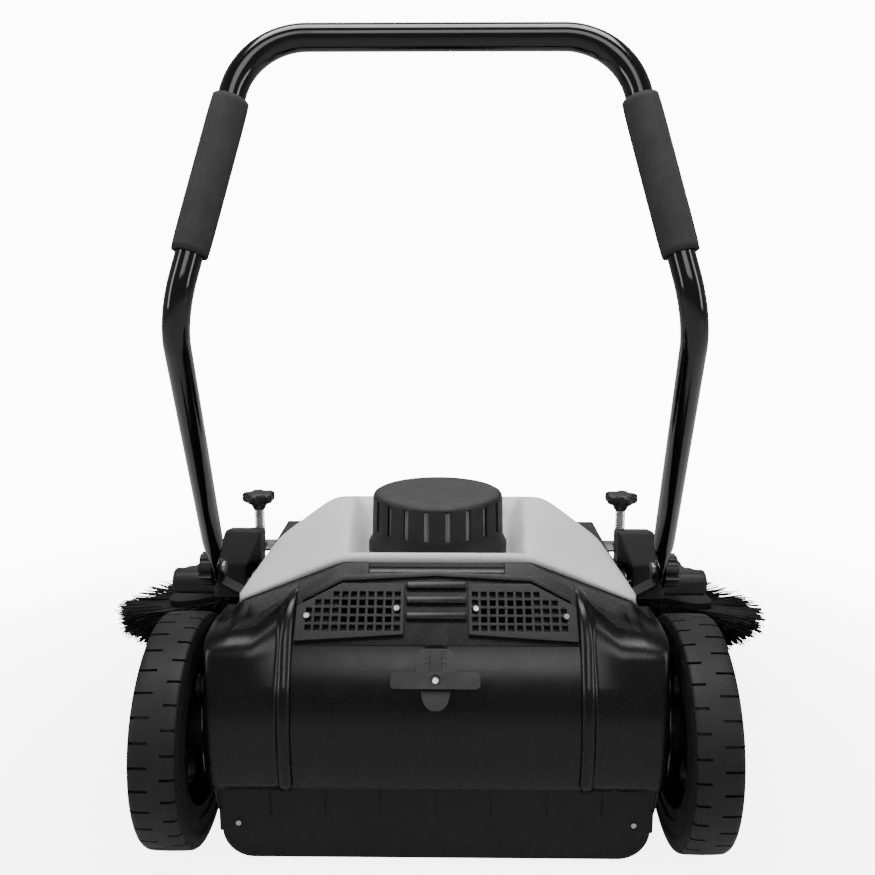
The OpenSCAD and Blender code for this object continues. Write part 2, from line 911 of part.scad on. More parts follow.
module handle_tube() {
    color("#0c0c0c") union() {
        difference() {
            tube_along(handle_path(end_len), tube_r, tube_sides, tube_ref);
            tube_along(handle_path(end_len + 2 * tube_d), tube_r - tube_wall, tube_sides, tube_ref);
        }
        for (s = [-1, 1]) handle_end(s);
    }
}

// A grip covers a share of the straight stretch between the handle's two bends
module grip(s) {
    pieces = handle_side(s, end_len);
    low = pieces[arc_steps + 1];
    high = pieces[arc_steps + 2];
    a = low + (high - low) * grip_low_share;
    b = low + (high - low) * grip_high_share;
    over = (b - a) * cut / norm(b - a);
    color("#303030") difference() {
        rod_between(a, b, grip_d / 2);
        rod_between(a - over, b + over, tube_r + slip);
    }
}

module handle_bracket(s) {
    low_x = wall_out;
    high_x = strap_plate_x;
    color("#9c9c9c") sided(s) difference() {
        union() {
            translate([0, pivot_y + strap_w / 2, 0]) rotate([90, 0, 0]) linear_extrude(strap_w)
                polygon([[low_x, strap_low], [low_x + strap_t, strap_low], [low_x + strap_t, strap_bend],
                    [high_x + strap_t, strap_bend_top], [high_x + strap_t, pivot_z], [high_x, pivot_z],
                    [high_x, strap_bend_top + strap_t], [low_x, strap_bend + strap_t]]);
            rod_x(high_x, high_x + strap_t, pivot_y, pivot_z, strap_w / 2);
        }
        rod_x(high_x - cut, high_x + strap_t + cut, pivot_y, pivot_z, bolt_r);
    }
}

module handle_bolts() {
    high_x = strap_plate_x;
    tip = pivot_half + end_t / 2 + clamp_bore;
    color("#c4c4c4") both_sides() {
        rod_x(high_x, tip, pivot_y, pivot_z, bolt_r);
        rod_x(high_x - bolt_head_t, high_x, pivot_y, pivot_z, bolt_head_r);
        for (z = strap_bolt_z)
            rod_x(wall_out + strap_t, wall_out + strap_t + bolt_head_t, pivot_y, z, strap_bolt_r);
    }
}

module clamp_knob(s) {
    low = pivot_half + end_t / 2 + slip;
    color("#161616") sided(s) difference() {
        rod_x(low, low + clamp_t, pivot_y, pivot_z, clamp_r);
        rod_x(low - cut, low + clamp_bore, pivot_y, pivot_z, bolt_r + run_fit);
        for (i = [0:clamp_flutes - 1]) let(
            edge = polar(clamp_r + clamp_flute_r / 2, i * 360 / clamp_flutes))
            rod_x(low - cut, low + clamp_t + cut, pivot_y + edge.x, pivot_z + edge.y, clamp_flute_r);
    }
}

// Side brush drive, arm and brush

module side_belts() {
    color("#0d0d0d") both_sides()
        belt(belt_plane, [0, wheel_r], side_pulley_r, [cross_y, cross_z], cross_pulley_r);
}

// A bevel gear blank that points along z
module gear() cylinder(h = gear_t, r1 = gear_r, r2 = gear_r * gear_tip_share);

module cross_shaft(s) {
    tip = brush_half - gear_r - slip;
    color("#a0a0a0") sided(s) union() {
        rod_x(bay_half - wall, tip - gear_t / 2, cross_y, cross_z, cross_r);
        along_x(belt_plane, cross_y, cross_z) pulley_blank(cross_pulley_r);
        along_x(tip - gear_t, cross_y, cross_z) gear();
    }
}

// The arm's own frame: it swings on the cross shaft, y runs forward along it
module at_arm() translate([0, cross_y, cross_z]) rotate([-arm_drop, 0, 0]) children();

module rod_y(x, y0, y1, r) translate([x, y0, 0]) rotate([-90, 0, 0]) cylinder(h = y1 - y0, r = r);

module lay_shaft(s) {
    back = gear_r + slip;
    front = arm_len - gear_r - slip;
    color("#a0a0a0") sided(s) at_arm() union() {
        rod_y(brush_half, back + gear_t / 2, front - gear_t / 2, lay_r);
        translate([brush_half, back + gear_t, 0]) rotate([90, 0, 0]) gear();
        translate([brush_half, front - gear_t, 0]) rotate([-90, 0, 0]) gear();
    }
}

// The brush's own frame: the spindle runs down -z from the arm's end
module at_brush() at_arm() translate([brush_half, arm_len, 0])
    rotate([arm_drop, 0, 0]) rotate([-brush_pitch, brush_roll, 0]) children();

module brush_arm(s) {
    room = gear_r + gear_room;
    lay_room = room + gear_room / 4;
    spindle_room = room + gear_room / 2;
    right = brush_half + case_half;
    color("#2b2b2b") sided(s) difference() {
        at_arm() union() {
            block([arm_in, arm_back, -arm_half_h], [arm_in + arm_wide, arm_front, arm_half_h]);
            block([tail_in, tail_back, -arm_half_h], [arm_in, arm_front, arm_half_h]);
            rod_x(arm_in, right, 0, 0, case_half);
            rod_y(brush_half, 0, case_half + gear_t, case_half);
            block([brush_half - beam_half, 0, -beam_half], [brush_half + beam_half, arm_len, beam_half]);
            rod_y(brush_half, arm_len - case_half - gear_t, arm_len + case_half, case_half);
            translate([brush_half, arm_len, case_low]) cylinder(h = -case_low, r = case_half + case_skirt);
            block([arm_in, arm_back, 0], [arm_in + arm_wide, hump_front, hump_base]);
            hull() {
                block([arm_in, arm_back, hump_foot], [arm_in + arm_wide, hump_front, hump_base]);
                block([tail_in, arm_back + hump_taper, hump_base + slip],
                    [arm_in + arm_wide - hump_taper, hump_front - hump_taper, hump_top]);
            }
        }
        at_arm() {
            rod_x(arm_in - cut, brush_half, 0, 0, cross_r + run_fit);
            rod_x(brush_half - room - gear_t, brush_half + room, 0, 0, room);
            rod_y(brush_half, 0, arm_len, lay_r + run_fit);
            rod_y(brush_half, 0, room + gear_t, lay_room);
            rod_y(brush_half, arm_len - room - gear_t, arm_len + gear_room, lay_room);
            translate([screw_x, (tail_back + arm_front) / 2, 0])
                cube([screw_slot_w, screw_slot_len, 3 * arm_half_h], center = true);
        }
        at_brush() {
            translate([0, 0, -room - gear_t]) cylinder(h = room + gear_t + gear_room, r = spindle_room);
            translate([0, 0, -disc_drop]) cylinder(h = disc_drop, r = spindle_r + run_fit);
        }
    }
}

module brush_disc(s) {
    color("#b9b9b9") sided(s) at_brush() union() {
        translate([0, 0, -disc_drop]) cylinder(h = disc_drop - gear_r - slip - gear_t / 2, r = spindle_r);
        translate([0, 0, -gear_r - slip - gear_t]) gear();
        translate([0, 0, -disc_drop - disc_t]) cylinder(h = disc_t, r = disc_r);
        translate([0, 0, -disc_drop]) cylinder(h = disc_cap_t, r1 = disc_cap_r, r2 = disc_cap_r - disc_cap_t);
    }
}

// Bristle tufts: each cell of the backing's underside draws out into one four-sided strand
module side_bristles(s) {
    n = tufts_round;
    m = tuft_rings;
    top = -disc_drop - disc_t;
    low = top - backing_t;
    ring_r = [for (j = [0:m]) backing_in + (disc_r - backing_in) * j / m];
    under = [for (i = [0:n - 1]) for (j = [0:m]) let(p = polar(ring_r[j], i * 360 / n)) [p.x, p.y, low]];
    edges = [ring_r[0], ring_r[m]];
    upper = [for (i = [0:n - 1]) for (r = edges) let(p = polar(r, i * 360 / n)) [p.x, p.y, top]];
    tips = [for (i = [0:n - 1]) for (j = [0:m - 1]) let(
        share = j / (m - 1),
        flare = tuft_low_angle + (tuft_high_angle - tuft_low_angle) * share,
        reach = bristle_len * (tuft_short_share + (1 - tuft_short_share) * share),
        r = (ring_r[j] + ring_r[j + 1]) / 2 + reach * sin(flare),
        drop = low - reach * cos(flare),
        turn = (i + 1 / 2) * 360 / n,
        out = [cos(turn), sin(turn), 0],
        side = [-sin(turn), cos(turn), 0],
        lift = [cos(turn) * cos(flare), sin(turn) * cos(flare), sin(flare)])
        for (c = [[-1, -1], [1, -1], [1, 1], [-1, 1]])
            r * out + [0, 0, drop] + tuft_tip / 2 * (c.x * lift + c.y * side)];
    tip_0 = len(under) + len(upper);
    up_0 = len(under);
    strands = [for (i = [0:n - 1]) for (j = [0:m - 1]) let(
        k = (i + 1) % n,
        base = [i * (m + 1) + j, i * (m + 1) + j + 1, k * (m + 1) + j + 1, k * (m + 1) + j],
        t = tip_0 + 4 * (i * m + j))
        each concat([for (c = [0:3]) each let(d = (c + 1) % 4)
            [[base[c], base[d], t + c], [base[d], t + d, t + c]]], [[t, t + 1, t + 2], [t, t + 2, t + 3]])];
    ring = [for (i = [0:n - 1]) let(
        k = (i + 1) % n,
        a = up_0 + 2 * i,
        b = up_0 + 2 * k,
        p = i * (m + 1),
        q = k * (m + 1))
        each [[a, b, a + 1], [a + 1, b, b + 1], [p, q, a], [q, b, a],
            [p + m, a + 1, q + m], [q + m, a + 1, b + 1]]];
    color("#0b0b0b") sided(s) at_brush() polyhedron(concat(under, upper, tips), concat(strands, ring));
}

module screw_brackets() {
    color("#8f8f8f") both_sides() difference() {
        block([wall_out - shelf_in, screw_y - shelf_depth / 2, shelf_z],
            [screw_x + shelf_out, screw_y + shelf_depth / 2, shelf_z + shelf_t]);
        translate([screw_x, screw_y, shelf_z - cut])
            cylinder(h = shelf_t + 2 * cut, r = screw_rod_r + run_fit);
    }
}

module adjust_knob(s) {
    color("#191919") sided(s) translate([screw_x, screw_y, 0]) union() {
        translate([0, 0, screw_low_z]) cylinder(h = screw_top_z - screw_low_z, r = screw_rod_r);
        translate([0, 0, shelf_z + shelf_t + slip]) cylinder(h = shelf_t, r = 2 * screw_rod_r);
        translate([0, 0, screw_top_z]) cylinder(h = knob_hub_t, r1 = knob_hub_r, r2 = knob_r - knob_lobe_r);
        translate([0, 0, screw_top_z + knob_hub_t]) {
            cylinder(h = knob_t, r = knob_r - knob_lobe_r);
            for (i = [0:knob_lobes - 1]) rotate(i * 360 / knob_lobes)
                translate([knob_r - knob_lobe_r, 0, 0]) cylinder(h = knob_t, r = knob_lobe_r);
        }
    }
}

// Hood and filter

// Half outline of the hood at four stations, grown outward by t
function hood_points(t, back, base) = let(
    drop = hood_crest_z - deck_z,
    half = wall_in + t,
    hip = wall_in - hip_in + t,
    rear = panel_top_y + hood_gap + back,
    brow = hood_crest_z - hood_brow_drop,
    nose = hood_crest_z - hood_nose_drop)
    [[hood_rear_half + t, rear, hood_rear_z + t],
    [hood_rear_half - rim_lean + t, rear + rim_lean, hood_rear_z + rim_h + t],
    [tip_half + t, tip_y + hood_gap + back, tip_z + t], [half, tip_y + hip_in + back, base],
    [crest_half + t, hood_crest_y, hood_crest_z + t], [hip, hood_crest_y, deck_z + hip_share * drop + t],
    [half, hood_crest_y, base], [crest_half + t, hood_brow_y + t, brow + t],
    [hip, hood_brow_y + t, deck_z + brow_hip_share * (brow - deck_z) + t], [half, hood_brow_y + t, base],
    [nose_half + t, hood_front_y + t, nose + t], [hip, hood_front_y + t, base]];

module hood_form(t, back, base) {
    right = hood_points(t, back, base);
    points = concat(right, [for (p = right) [-p.x, p.y, p.z]]);
    hull() polyhedron(points, [for (i = [0:len(points) - 3]) [i, i + 1, i + 2]]);
}

// The channel that the cap stands in, its sides and front leaning outwards, grown by t
module hood_channel(t) {
    half = cap_d / 2 + cap_collar + channel_gap + t;
    back = well_y - cap_d / 2 - cap_collar - channel_gap / 2 - t;
    front = 2 * well_y - back;
    low = well_floor_z - t;
    rise = hood_crest_z - low + cut;
    lean = channel_lean * rise;
    points = [for (e = [-1, 1]) each [[e * half, back, low], [e * half, front, low],
        [e * (half + lean), back, low + rise], [e * (half + lean), front + lean, low + rise]]];
    hull() polyhedron(points, [for (i = [0:len(points) - 3]) [i, i + 1, i + 2]]);
}

module hood_shell() {
    color("#b4b4b4") difference() {
        union() {
            difference() {
                hood_form(0, 0, hood_base_z);
                hood_form(-hood_t, -hood_open_back, hood_base_z - hood_open_back);
            }
            intersection() {
                hood_channel(hood_t);
                hood_form(0, 0, hood_base_z);
            }
            both_sides() difference() {
                union() {
                    rod_x(lug_x + lug_w, lug_x + 2 * lug_w - lug_gap, hinge_y, hinge_z, lug_r);
                    block([lug_x + lug_w, hinge_y - lug_r, hinge_z],
                        [lug_x + 2 * lug_w - lug_gap, hinge_y, hood_base_z + lug_r]);
                }
                rod_x(lug_x + lug_w - cut, lug_x + 2 * lug_w + cut, hinge_y, hinge_z, hinge_pin_r + run_fit);
            }
        }
        hood_channel(0);
        translate([0, well_y, well_floor_z - 2 * hood_t])
            cylinder(h = hood_crest_z, r = cap_d / 2 * well_hole_share);
        both_sides() for (x = [lug_x, lug_x + 2 * lug_w])
            block([x - lug_gap, hood_front_y - 2 * hood_t, hinge_z - lug_r],
                [x + lug_w, hinge_y, hinge_z + lug_r + 2 * lug_gap]);
    }
}

module filter_cap() {
    r = cap_d / 2;
    collar = r + cap_collar;
    height = cap_top_z - well_floor_z;
    color("#1a1a1a") translate([0, well_y, well_floor_z]) difference() {
        rotate_extrude($fn = 96) polygon([[0, 0], [collar, 0], [collar, cap_collar_h],
            [r + cap_taper, cap_collar_h + cap_collar], [r, height - cap_edge],
            [r - cap_edge, height], [0, height]]);
        translate([0, 0, -cut]) cylinder(h = height - cap_wall + cut, r = r - cap_wall, $fn = 96);
        for (i = [0:cap_window_count - 1]) rotate((i + 1 / 2) * 360 / cap_window_count)
            translate([r / 2, -cap_window_w / 2, cap_window_low]) cube([r, cap_window_w, cap_window_h]);
    }
}

module filter_element() {
    color("#c8c6be") translate([0, well_y, well_floor_z]) difference() {
        cylinder(h = cap_top_z - well_floor_z - filter_drop, r = cap_d / 2 * filter_share);
        translate([0, 0, -cut]) cylinder(h = cap_top_z, r = cap_d / 2 * filter_share * filter_share);
    }
}

placed() side_wall(-1);  // left_side_wall
placed() side_wall(1);  // right_side_wall
placed() front_bay();
placed() rear_drum_cover();
placed() shoulder(-1);  // left_shoulder
placed() shoulder(1);  // right_shoulder
placed() vent_panel();
placed() grille(-1);  // left_grille
placed() grille(1);  // right_grille
placed() vent_louvres();
placed() housing_screws();
placed() rear_skirt();
placed() handle_bracket(-1);  // left_handle_bracket
placed() handle_bracket(1);  // right_handle_bracket
placed() handle_bolts();
placed() axle_bushes();
placed() hopper();
placed() screw_brackets();
placed() side_belts();
placed() roller_brackets();
placed() hood_hinge_pins();
placed() handle_tube();
placed() grip(-1);  // left_grip
placed() grip(1);  // right_grip
placed() clamp_knob(-1);  // left_clamp_knob
placed() clamp_knob(1);  // right_clamp_knob
placed() tyre(-1);  // left_tyre
placed() rim(-1);  // left_rim
placed() axle(-1);  // left_axle
placed() roller_pulley(-1);  // left_roller_pulley
placed() tyre(1);  // right_tyre
placed() rim(1);  // right_rim
placed() axle(1);  // right_axle
placed() roller_pulley(1);  // right_roller_pulley
placed() cradle_arm(-1);  // left_cradle_arm
placed() cradle_arm(1);  // right_cradle_arm
placed() cradle_bar();
placed() roller_belts();
placed() roller_shaft();
placed() roller_core();
placed() roller_bristles();
placed() height_handle();
placed() height_handle_screw();
placed() cross_shaft(-1);  // left_cross_shaft
placed() cross_shaft(1);  // right_cross_shaft
placed() lay_shaft(-1);  // left_lay_shaft
placed() lay_shaft(1);  // right_lay_shaft
placed() brush_arm(-1);  // left_brush_arm
placed() brush_arm(1);  // right_brush_arm
placed() brush_disc(-1);  // left_brush_disc
placed() brush_disc(1);  // right_brush_disc
placed() side_bristles(-1);  // left_side_bristles
placed() side_bristles(1);  // right_side_bristles
placed() adjust_knob(-1);  // left_adjust_knob
placed() adjust_knob(1);  // right_adjust_knob
placed() hood_shell();
placed() filter_cap();
placed() filter_element();
placed() front_rollers();
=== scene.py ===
"""Walk-behind brush sweeper: finishes and detailed pieces over the CAD frame."""
import json
import math

import bmesh
import bpy
from mathutils import Matrix, Vector


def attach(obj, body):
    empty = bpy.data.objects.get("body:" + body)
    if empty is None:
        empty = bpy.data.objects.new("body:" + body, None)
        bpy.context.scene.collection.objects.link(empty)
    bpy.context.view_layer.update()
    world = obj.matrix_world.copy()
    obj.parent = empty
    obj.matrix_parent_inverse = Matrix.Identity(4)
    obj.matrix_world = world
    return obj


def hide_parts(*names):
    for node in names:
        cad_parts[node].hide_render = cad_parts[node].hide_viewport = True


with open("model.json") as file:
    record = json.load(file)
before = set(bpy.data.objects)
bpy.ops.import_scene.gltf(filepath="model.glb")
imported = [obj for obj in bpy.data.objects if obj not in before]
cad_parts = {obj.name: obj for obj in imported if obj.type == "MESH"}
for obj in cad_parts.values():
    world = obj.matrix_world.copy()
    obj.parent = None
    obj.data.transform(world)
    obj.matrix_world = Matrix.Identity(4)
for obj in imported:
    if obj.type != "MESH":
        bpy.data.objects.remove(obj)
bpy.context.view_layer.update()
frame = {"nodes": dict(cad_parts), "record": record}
NODE = frame["nodes"]
SCENE = bpy.context.scene

MID_Y = 186.855  # the frame's middle lies this far ahead of the wheel axle, in mm
SIDES = (("left", -1), ("right", 1))
FULL_TURN = 2 * math.pi


def mm(x, y, z):
    """A place given in millimetres with the wheel axle over y = 0, as a place in the frame."""
    return Vector((x / 1000, (y - MID_Y) / 1000, z / 1000))


def polar(radius, turn, height=0.0):
    """A place at a radius and a turn round the upright axis."""
    return Vector((radius * math.cos(turn), radius * math.sin(turn), height))


# Node groups and finishes


def make_group(kind, name, inputs, outputs):
    """A node group with inputs given as (label, type, value) and outputs as (label, type)."""
    group = bpy.data.node_groups.new(name, kind)
    for label, socket_type, value in inputs:
        socket = group.interface.new_socket(
            label, in_out="INPUT", socket_type="NodeSocket" + socket_type)
        if value is not None:
            socket.default_value = value
    for label, socket_type in outputs:
        group.interface.new_socket(
            label, in_out="OUTPUT", socket_type="NodeSocket" + socket_type)
    return group, group.nodes.new("NodeGroupInput"), group.nodes.new("NodeGroupOutput")


def add_noise(tree, place, **values):
    """A noise texture at a place, with plain values for some of its inputs."""
    node = tree.nodes.new("ShaderNodeTexNoise")
    for label, value in values.items():
        node.inputs[label].default_value = value
    tree.links.new(place, node.inputs["Vector"])
    return node


def add_range(tree, value, **limits):
    """A map range node on a value, with plain values for some of its limits."""
    node = tree.nodes.new("ShaderNodeMapRange")
    for label, limit in limits.items():
        node.inputs[label.replace("_", " ")].default_value = limit
    tree.links.new(value, node.inputs["Value"])
    return node


def add_product(tree, first, second):
    """Two values multiplied; the second may be a plain number."""
    node = tree.nodes.new("ShaderNodeMath")
    node.operation = "MULTIPLY"
    tree.links.new(first, node.inputs[0])
    if isinstance(second, (int, float)):
        node.inputs[1].default_value = second
    else:
        tree.links.new(second, node.inputs[1])
    return node.outputs["Value"]


def add_colour_mix(tree, factor):
    node = tree.nodes.new("ShaderNodeMix")
    node.data_type = "RGBA"
    tree.links.new(factor, node.inputs["Factor"])
    return node


def moulded_surface_group():
    """Fine grain, slow tone drift and faint handling marks for mouldings, rubber and paint."""
    group, source, result = make_group(
        "ShaderNodeTree", "moulded_surface",
        [("Grain scale", "Float", 900.0), ("Drift scale", "Float", 9.0),
         ("Rough low", "Float", 0.3), ("Rough high", "Float", 0.45),
         ("Tone", "Color", (0.02, 0.02, 0.02, 1)), ("Worn tone", "Color", (0.04, 0.04, 0.04, 1))],
        [("Color", "Color"), ("Roughness", "Float"), ("Height", "Float")])
    links = group.links
    place = group.nodes.new("ShaderNodeTexCoord").outputs["Object"]
    grain = add_noise(group, place, Detail=4)
    drift = add_noise(group, place, Detail=6, Roughness=0.6)
    marks = add_noise(group, place, Scale=46, Detail=8)
    links.new(source.outputs["Grain scale"], grain.inputs["Scale"])
    links.new(source.outputs["Drift scale"], drift.inputs["Scale"])
    spread = add_range(group, drift.outputs["Fac"], From_Min=0.32, From_Max=0.7)
    tone = add_colour_mix(group, spread.outputs["Result"])
    links.new(source.outputs["Tone"], tone.inputs["A"])
    links.new(source.outputs["Worn tone"], tone.inputs["B"])
    links.new(tone.outputs["Result"], result.inputs["Color"])
    rough = add_range(group, marks.outputs["Fac"], From_Min=0.3, From_Max=0.75)
    links.new(source.outputs["Rough low"], rough.inputs["To Min"])
    links.new(source.outputs["Rough high"], rough.inputs["To Max"])
    links.new(rough.outputs["Result"], result.inputs["Roughness"])
    links.new(grain.outputs["Fac"], result.inputs["Height"])
    return group


def floor_dust_group():
    """A mask for pale dust that gathers low on the machine and in patches."""
    group, source, result = make_group(
        "ShaderNodeTree", "floor_dust",
        [("Reach", "Float", 0.18), ("Amount", "Float", 0.3)], [("Mask", "Float")])
    links = group.links
    place = group.nodes.new("ShaderNodeTexCoord").outputs["Object"]
    split = group.nodes.new("ShaderNodeSeparateXYZ")
    links.new(place, split.inputs["Vector"])
    low = add_range(group, split.outputs["Z"], To_Min=1, To_Max=0)
    links.new(source.outputs["Reach"], low.inputs["From Max"])
    patches = add_noise(group, place, Scale=60, Detail=8, Roughness=0.7)
    sharp = add_range(group, patches.outputs["Fac"], From_Min=0.42, From_Max=0.72)
    both = add_product(group, low.outputs["Result"], sharp.outputs["Result"])
    mask = add_product(group, both, source.outputs["Amount"])
    links.new(mask, result.inputs["Mask"])
    return group


SURFACE = moulded_surface_group()
DUST = floor_dust_group()
DUST_COLOUR = (0.16, 0.15, 0.135, 1)
GRAIN_HEIGHT = 0.0006


def colour_of(tone):
    """A colour as it is, or the faintly cool grey of one number."""
    return tone if isinstance(tone, tuple) else (tone, tone, tone * 1.01, 1)


def finish(name, tone, worn, rough, grain=900.0, depth=0.05, drift=9.0,
           dust=0.0, reach=0.18, shine=0.5, metal=0.0):
    """A finish from the shared groups, with its shine and metal set on the shader."""
    material = bpy.data.materials.new(name)
    material.use_nodes = True
    nodes, links = material.node_tree.nodes, material.node_tree.links
    shader = nodes["Principled BSDF"]
    surface = nodes.new("ShaderNodeGroup")
    surface.node_tree = SURFACE
    surface.inputs["Grain scale"].default_value = grain
    surface.inputs["Drift scale"].default_value = drift
    surface.inputs["Rough low"].default_value = rough[0]
    surface.inputs["Rough high"].default_value = rough[1]
    surface.inputs["Tone"].default_value = colour_of(tone)
    surface.inputs["Worn tone"].default_value = colour_of(worn)
    colour = surface.outputs["Color"]
    if dust:
        mask = nodes.new("ShaderNodeGroup")
        mask.node_tree = DUST
        mask.inputs["Amount"].default_value = dust
        mask.inputs["Reach"].default_value = reach
        mix = add_colour_mix(material.node_tree, mask.outputs["Mask"])
        mix.inputs["B"].default_value = DUST_COLOUR
        links.new(colour, mix.inputs["A"])
        colour = mix.outputs["Result"]
    links.new(colour, shader.inputs["Base Color"])
    links.new(surface.outputs["Roughness"], shader.inputs["Roughness"])
    bump = nodes.new("ShaderNodeBump")
    bump.inputs["Strength"].default_value = depth
    bump.inputs["Distance"].default_value = GRAIN_HEIGHT
    links.new(surface.outputs["Height"], bump.inputs["Height"])
    links.new(bump.outputs["Normal"], shader.inputs["Normal"])
    shader.inputs["Specular IOR Level"].default_value = shine
    shader.inputs["Metallic"].default_value = metal
    return material


FINISH = {
    "housing_black": finish("satin_black_moulding", 0.0014, 0.0022, (0.24, 0.3), depth=0.03,
                            drift=4, dust=0.03, reach=0.1, shine=0.2),
    "grille_black": finish("grille_moulding", 0.0022, 0.0034, (0.42, 0.54), grain=800,
                           depth=0.1, shine=0.2),
    "zinc_steel": finish("zinc_plate", 0.24, 0.34, (0.2, 0.42), grain=500, depth=0.06,
                         drift=40, metal=1.0),
    "bush_bronze": finish("sintered_bronze", (0.3, 0.2, 0.1, 1), (0.38, 0.27, 0.14, 1),
                          (0.35, 0.55), metal=1.0),
    "skirt_rubber": finish("skirt_rubber", 0.0016, 0.0026, (0.36, 0.46), grain=500,
                           dust=0.03, reach=0.08, shine=0.18),
    "belt_rubber": finish("belt_rubber", 0.004, 0.007, (0.6, 0.8), grain=600, depth=0.2,
                          shine=0.2),
    "hopper_plastic": finish("hopper_moulding", 0.012, 0.018, (0.4, 0.6), depth=0.1,
                             dust=0.3, shine=0.3),
    "tube_black": finish("gloss_black_coat", 0.0012, 0.002, (0.1, 0.15), grain=220,
                         depth=0.02, drift=14, shine=0.3),
    "grip_foam": finish("charcoal_foam", 0.019, 0.025, (0.9, 0.98), grain=1500, depth=0.5,
                        drift=30, shine=0.1),
    "knob_black": finish("knob_moulding", 0.002, 0.003, (0.3, 0.42), grain=800, depth=0.1,
                         shine=0.25),
    "tyre_rubber": finish("tyre_rubber", 0.0028, 0.0046, (0.5, 0.62), grain=520, depth=0.12,
                          drift=12, dust=0.04, reach=0.12, shine=0.2),
    "rim_plastic": finish("rim_moulding", 0.002, 0.0035, (0.36, 0.5), depth=0.08, shine=0.2),
    "cradle_steel": finish("painted_steel", 0.004, 0.006, (0.32, 0.42), shine=0.2),
    "bristle_black": finish("nylon_bristle", 0.0012, 0.003, (0.45, 0.6), grain=300,
                            drift=120, shine=0.12),
    "core_plastic": finish("disc_moulding", 0.003, 0.005, (0.5, 0.6), depth=0.1, shine=0.1),
    "arm_plastic": finish("arm_moulding", 0.002, 0.0034, (0.38, 0.5), depth=0.1, shine=0.2),
    "hood_grey": finish("light_grey_moulding", 0.37, 0.385, (0.36, 0.44), depth=0.04,
                        drift=5, shine=0.35),
    "cap_grey": finish("cap_moulding", 0.005, 0.0075, (0.5, 0.6), grain=1300, depth=0.2,
                       drift=16, shine=0.25),
    "filter_paper": finish("filter_paper", (0.3, 0.295, 0.28, 1), (0.38, 0.37, 0.35, 1),
                           (0.8, 0.95), depth=0.4),
}


# Helpers for pieces


def new_piece(name, mesh, slot, body, replaced=(), smooth=True):
    obj = bpy.data.objects.new(name, mesh)
    SCENE.collection.objects.link(obj)
    mesh.materials.clear()
    mesh.materials.append(FINISH[slot])
    if smooth:
        mesh.polygons.foreach_set("use_smooth", [True] * len(mesh.polygons))
    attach(obj, body)
    if replaced:
        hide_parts(*replaced)
    return obj


def add_wall(obj, thickness):
    """Gives an open skin its wall, on the inside."""
    wall = obj.modifiers.new("wall", "SOLIDIFY")
    wall.thickness = thickness
    wall.offset = -1


def mesh_from(name, build):
    """A mesh from a function that fills a bmesh, doubles merged and faces turned outwards."""
    bm = bmesh.new()
    build(bm)
    bmesh.ops.remove_doubles(bm, verts=bm.verts, dist=1e-6)
    bmesh.ops.recalc_face_normals(bm, faces=bm.faces)
    mesh = bpy.data.meshes.new(name)
    bm.to_mesh(mesh)
    bm.free()
    return mesh


def evaluated_mesh(mesh, tree, values, name):
    """Runs a Geometry Nodes tree once on a mesh and gives the plain mesh that comes out."""
    obj = bpy.data.objects.new(name, mesh)
    SCENE.collection.objects.link(obj)
    modifier = obj.modifiers.new(name, "NODES")
    modifier.node_group = tree
    for item in tree.interface.items_tree:
        if item.in_out == "INPUT" and item.name in values:
            modifier[item.identifier] = values[item.name]
    graph = bpy.context.evaluated_depsgraph_get()
    result = bpy.data.meshes.new_from_object(
        obj.evaluated_get(graph), preserve_all_data_layers=True, depsgraph=graph)
    bpy.data.objects.remove(obj)
    return result


def sharp_edges(mesh, degrees):
    """Marks the edges that stay crisp under smooth shading."""
    limit = math.radians(degrees)
    bm = bmesh.new()
    bm.from_mesh(mesh)
    for edge in bm.edges:
        edge.smooth = len(edge.link_faces) == 2 and edge.calc_face_angle(0) < limit
    bm.to_mesh(mesh)
    bm.free()


def bridge(bm, rings, around=False, ends=False):
    """Faces from each ring to the next; around also joins the last ring to the first."""
    faces = []
    for near, far in zip(rings, rings[1:] + rings[:1] if around else rings[1:]):
        count = len(near)
        for k in range(count):
            after = (k + 1) % count
            faces.append(bm.faces.new((near[k], near[after], far[after], far[k])))
    if ends:
        bm.faces.new(list(reversed(rings[0])))
        bm.faces.new(rings[-1])
    return faces


def revolve(bm, profile, steps, place):
    """Turns a closed profile of (radius, height) round, through a placing matrix."""
    rings = []
    for i in range(steps):
        turn = FULL_TURN * i / steps
        rings.append([bm.verts.new(place @ polar(r, turn, h)) for r, h in profile])
    bridge(bm, rings, around=True)


def sweep(bm, points, radii, sides):
    """A round bar along points; radii gives (along the reference, across it) at each point."""
    reference = Vector((0, 1, 0.3)).normalized()
    rings = []
    last = len(points) - 1
    for i, point in enumerate(points):
        ahead = (points[min(i + 1, last)] - points[max(i - 1, 0)]).normalized()
        side = (reference - reference.dot(ahead) * ahead).normalized()
        other = ahead.cross(side)
        ring = []
        for k in range(sides):
            a, b, _ = polar(1, FULL_TURN * k / sides)
            ring.append(bm.verts.new(point + side * radii[i][0] * a + other * radii[i][1] * b))
        rings.append(ring)
    bridge(bm, rings, ends=True)


# CAD nodes that stay: rounded edges and finishes

USUAL_ROUND = 0.7  # edge rounding in mm
EDGE_ROUND = {
    "vent_panel": 2.0, "vent_louvres": 1.6, "left_grille": 0.5, "right_grille": 0.5,
    "left_clamp_knob": 1.5, "right_clamp_knob": 1.5, "height_handle": 2.4, "rear_skirt": 0.8,
    "rear_drum_cover": 1.4, "front_bay": 2.0, "left_side_wall": 1.2, "right_side_wall": 1.2,
}
ROUNDED_FROM = math.radians(32)
SOFT_CASTS = ("left_brush_arm", "right_brush_arm")
SOFT_GRID = 0.0022


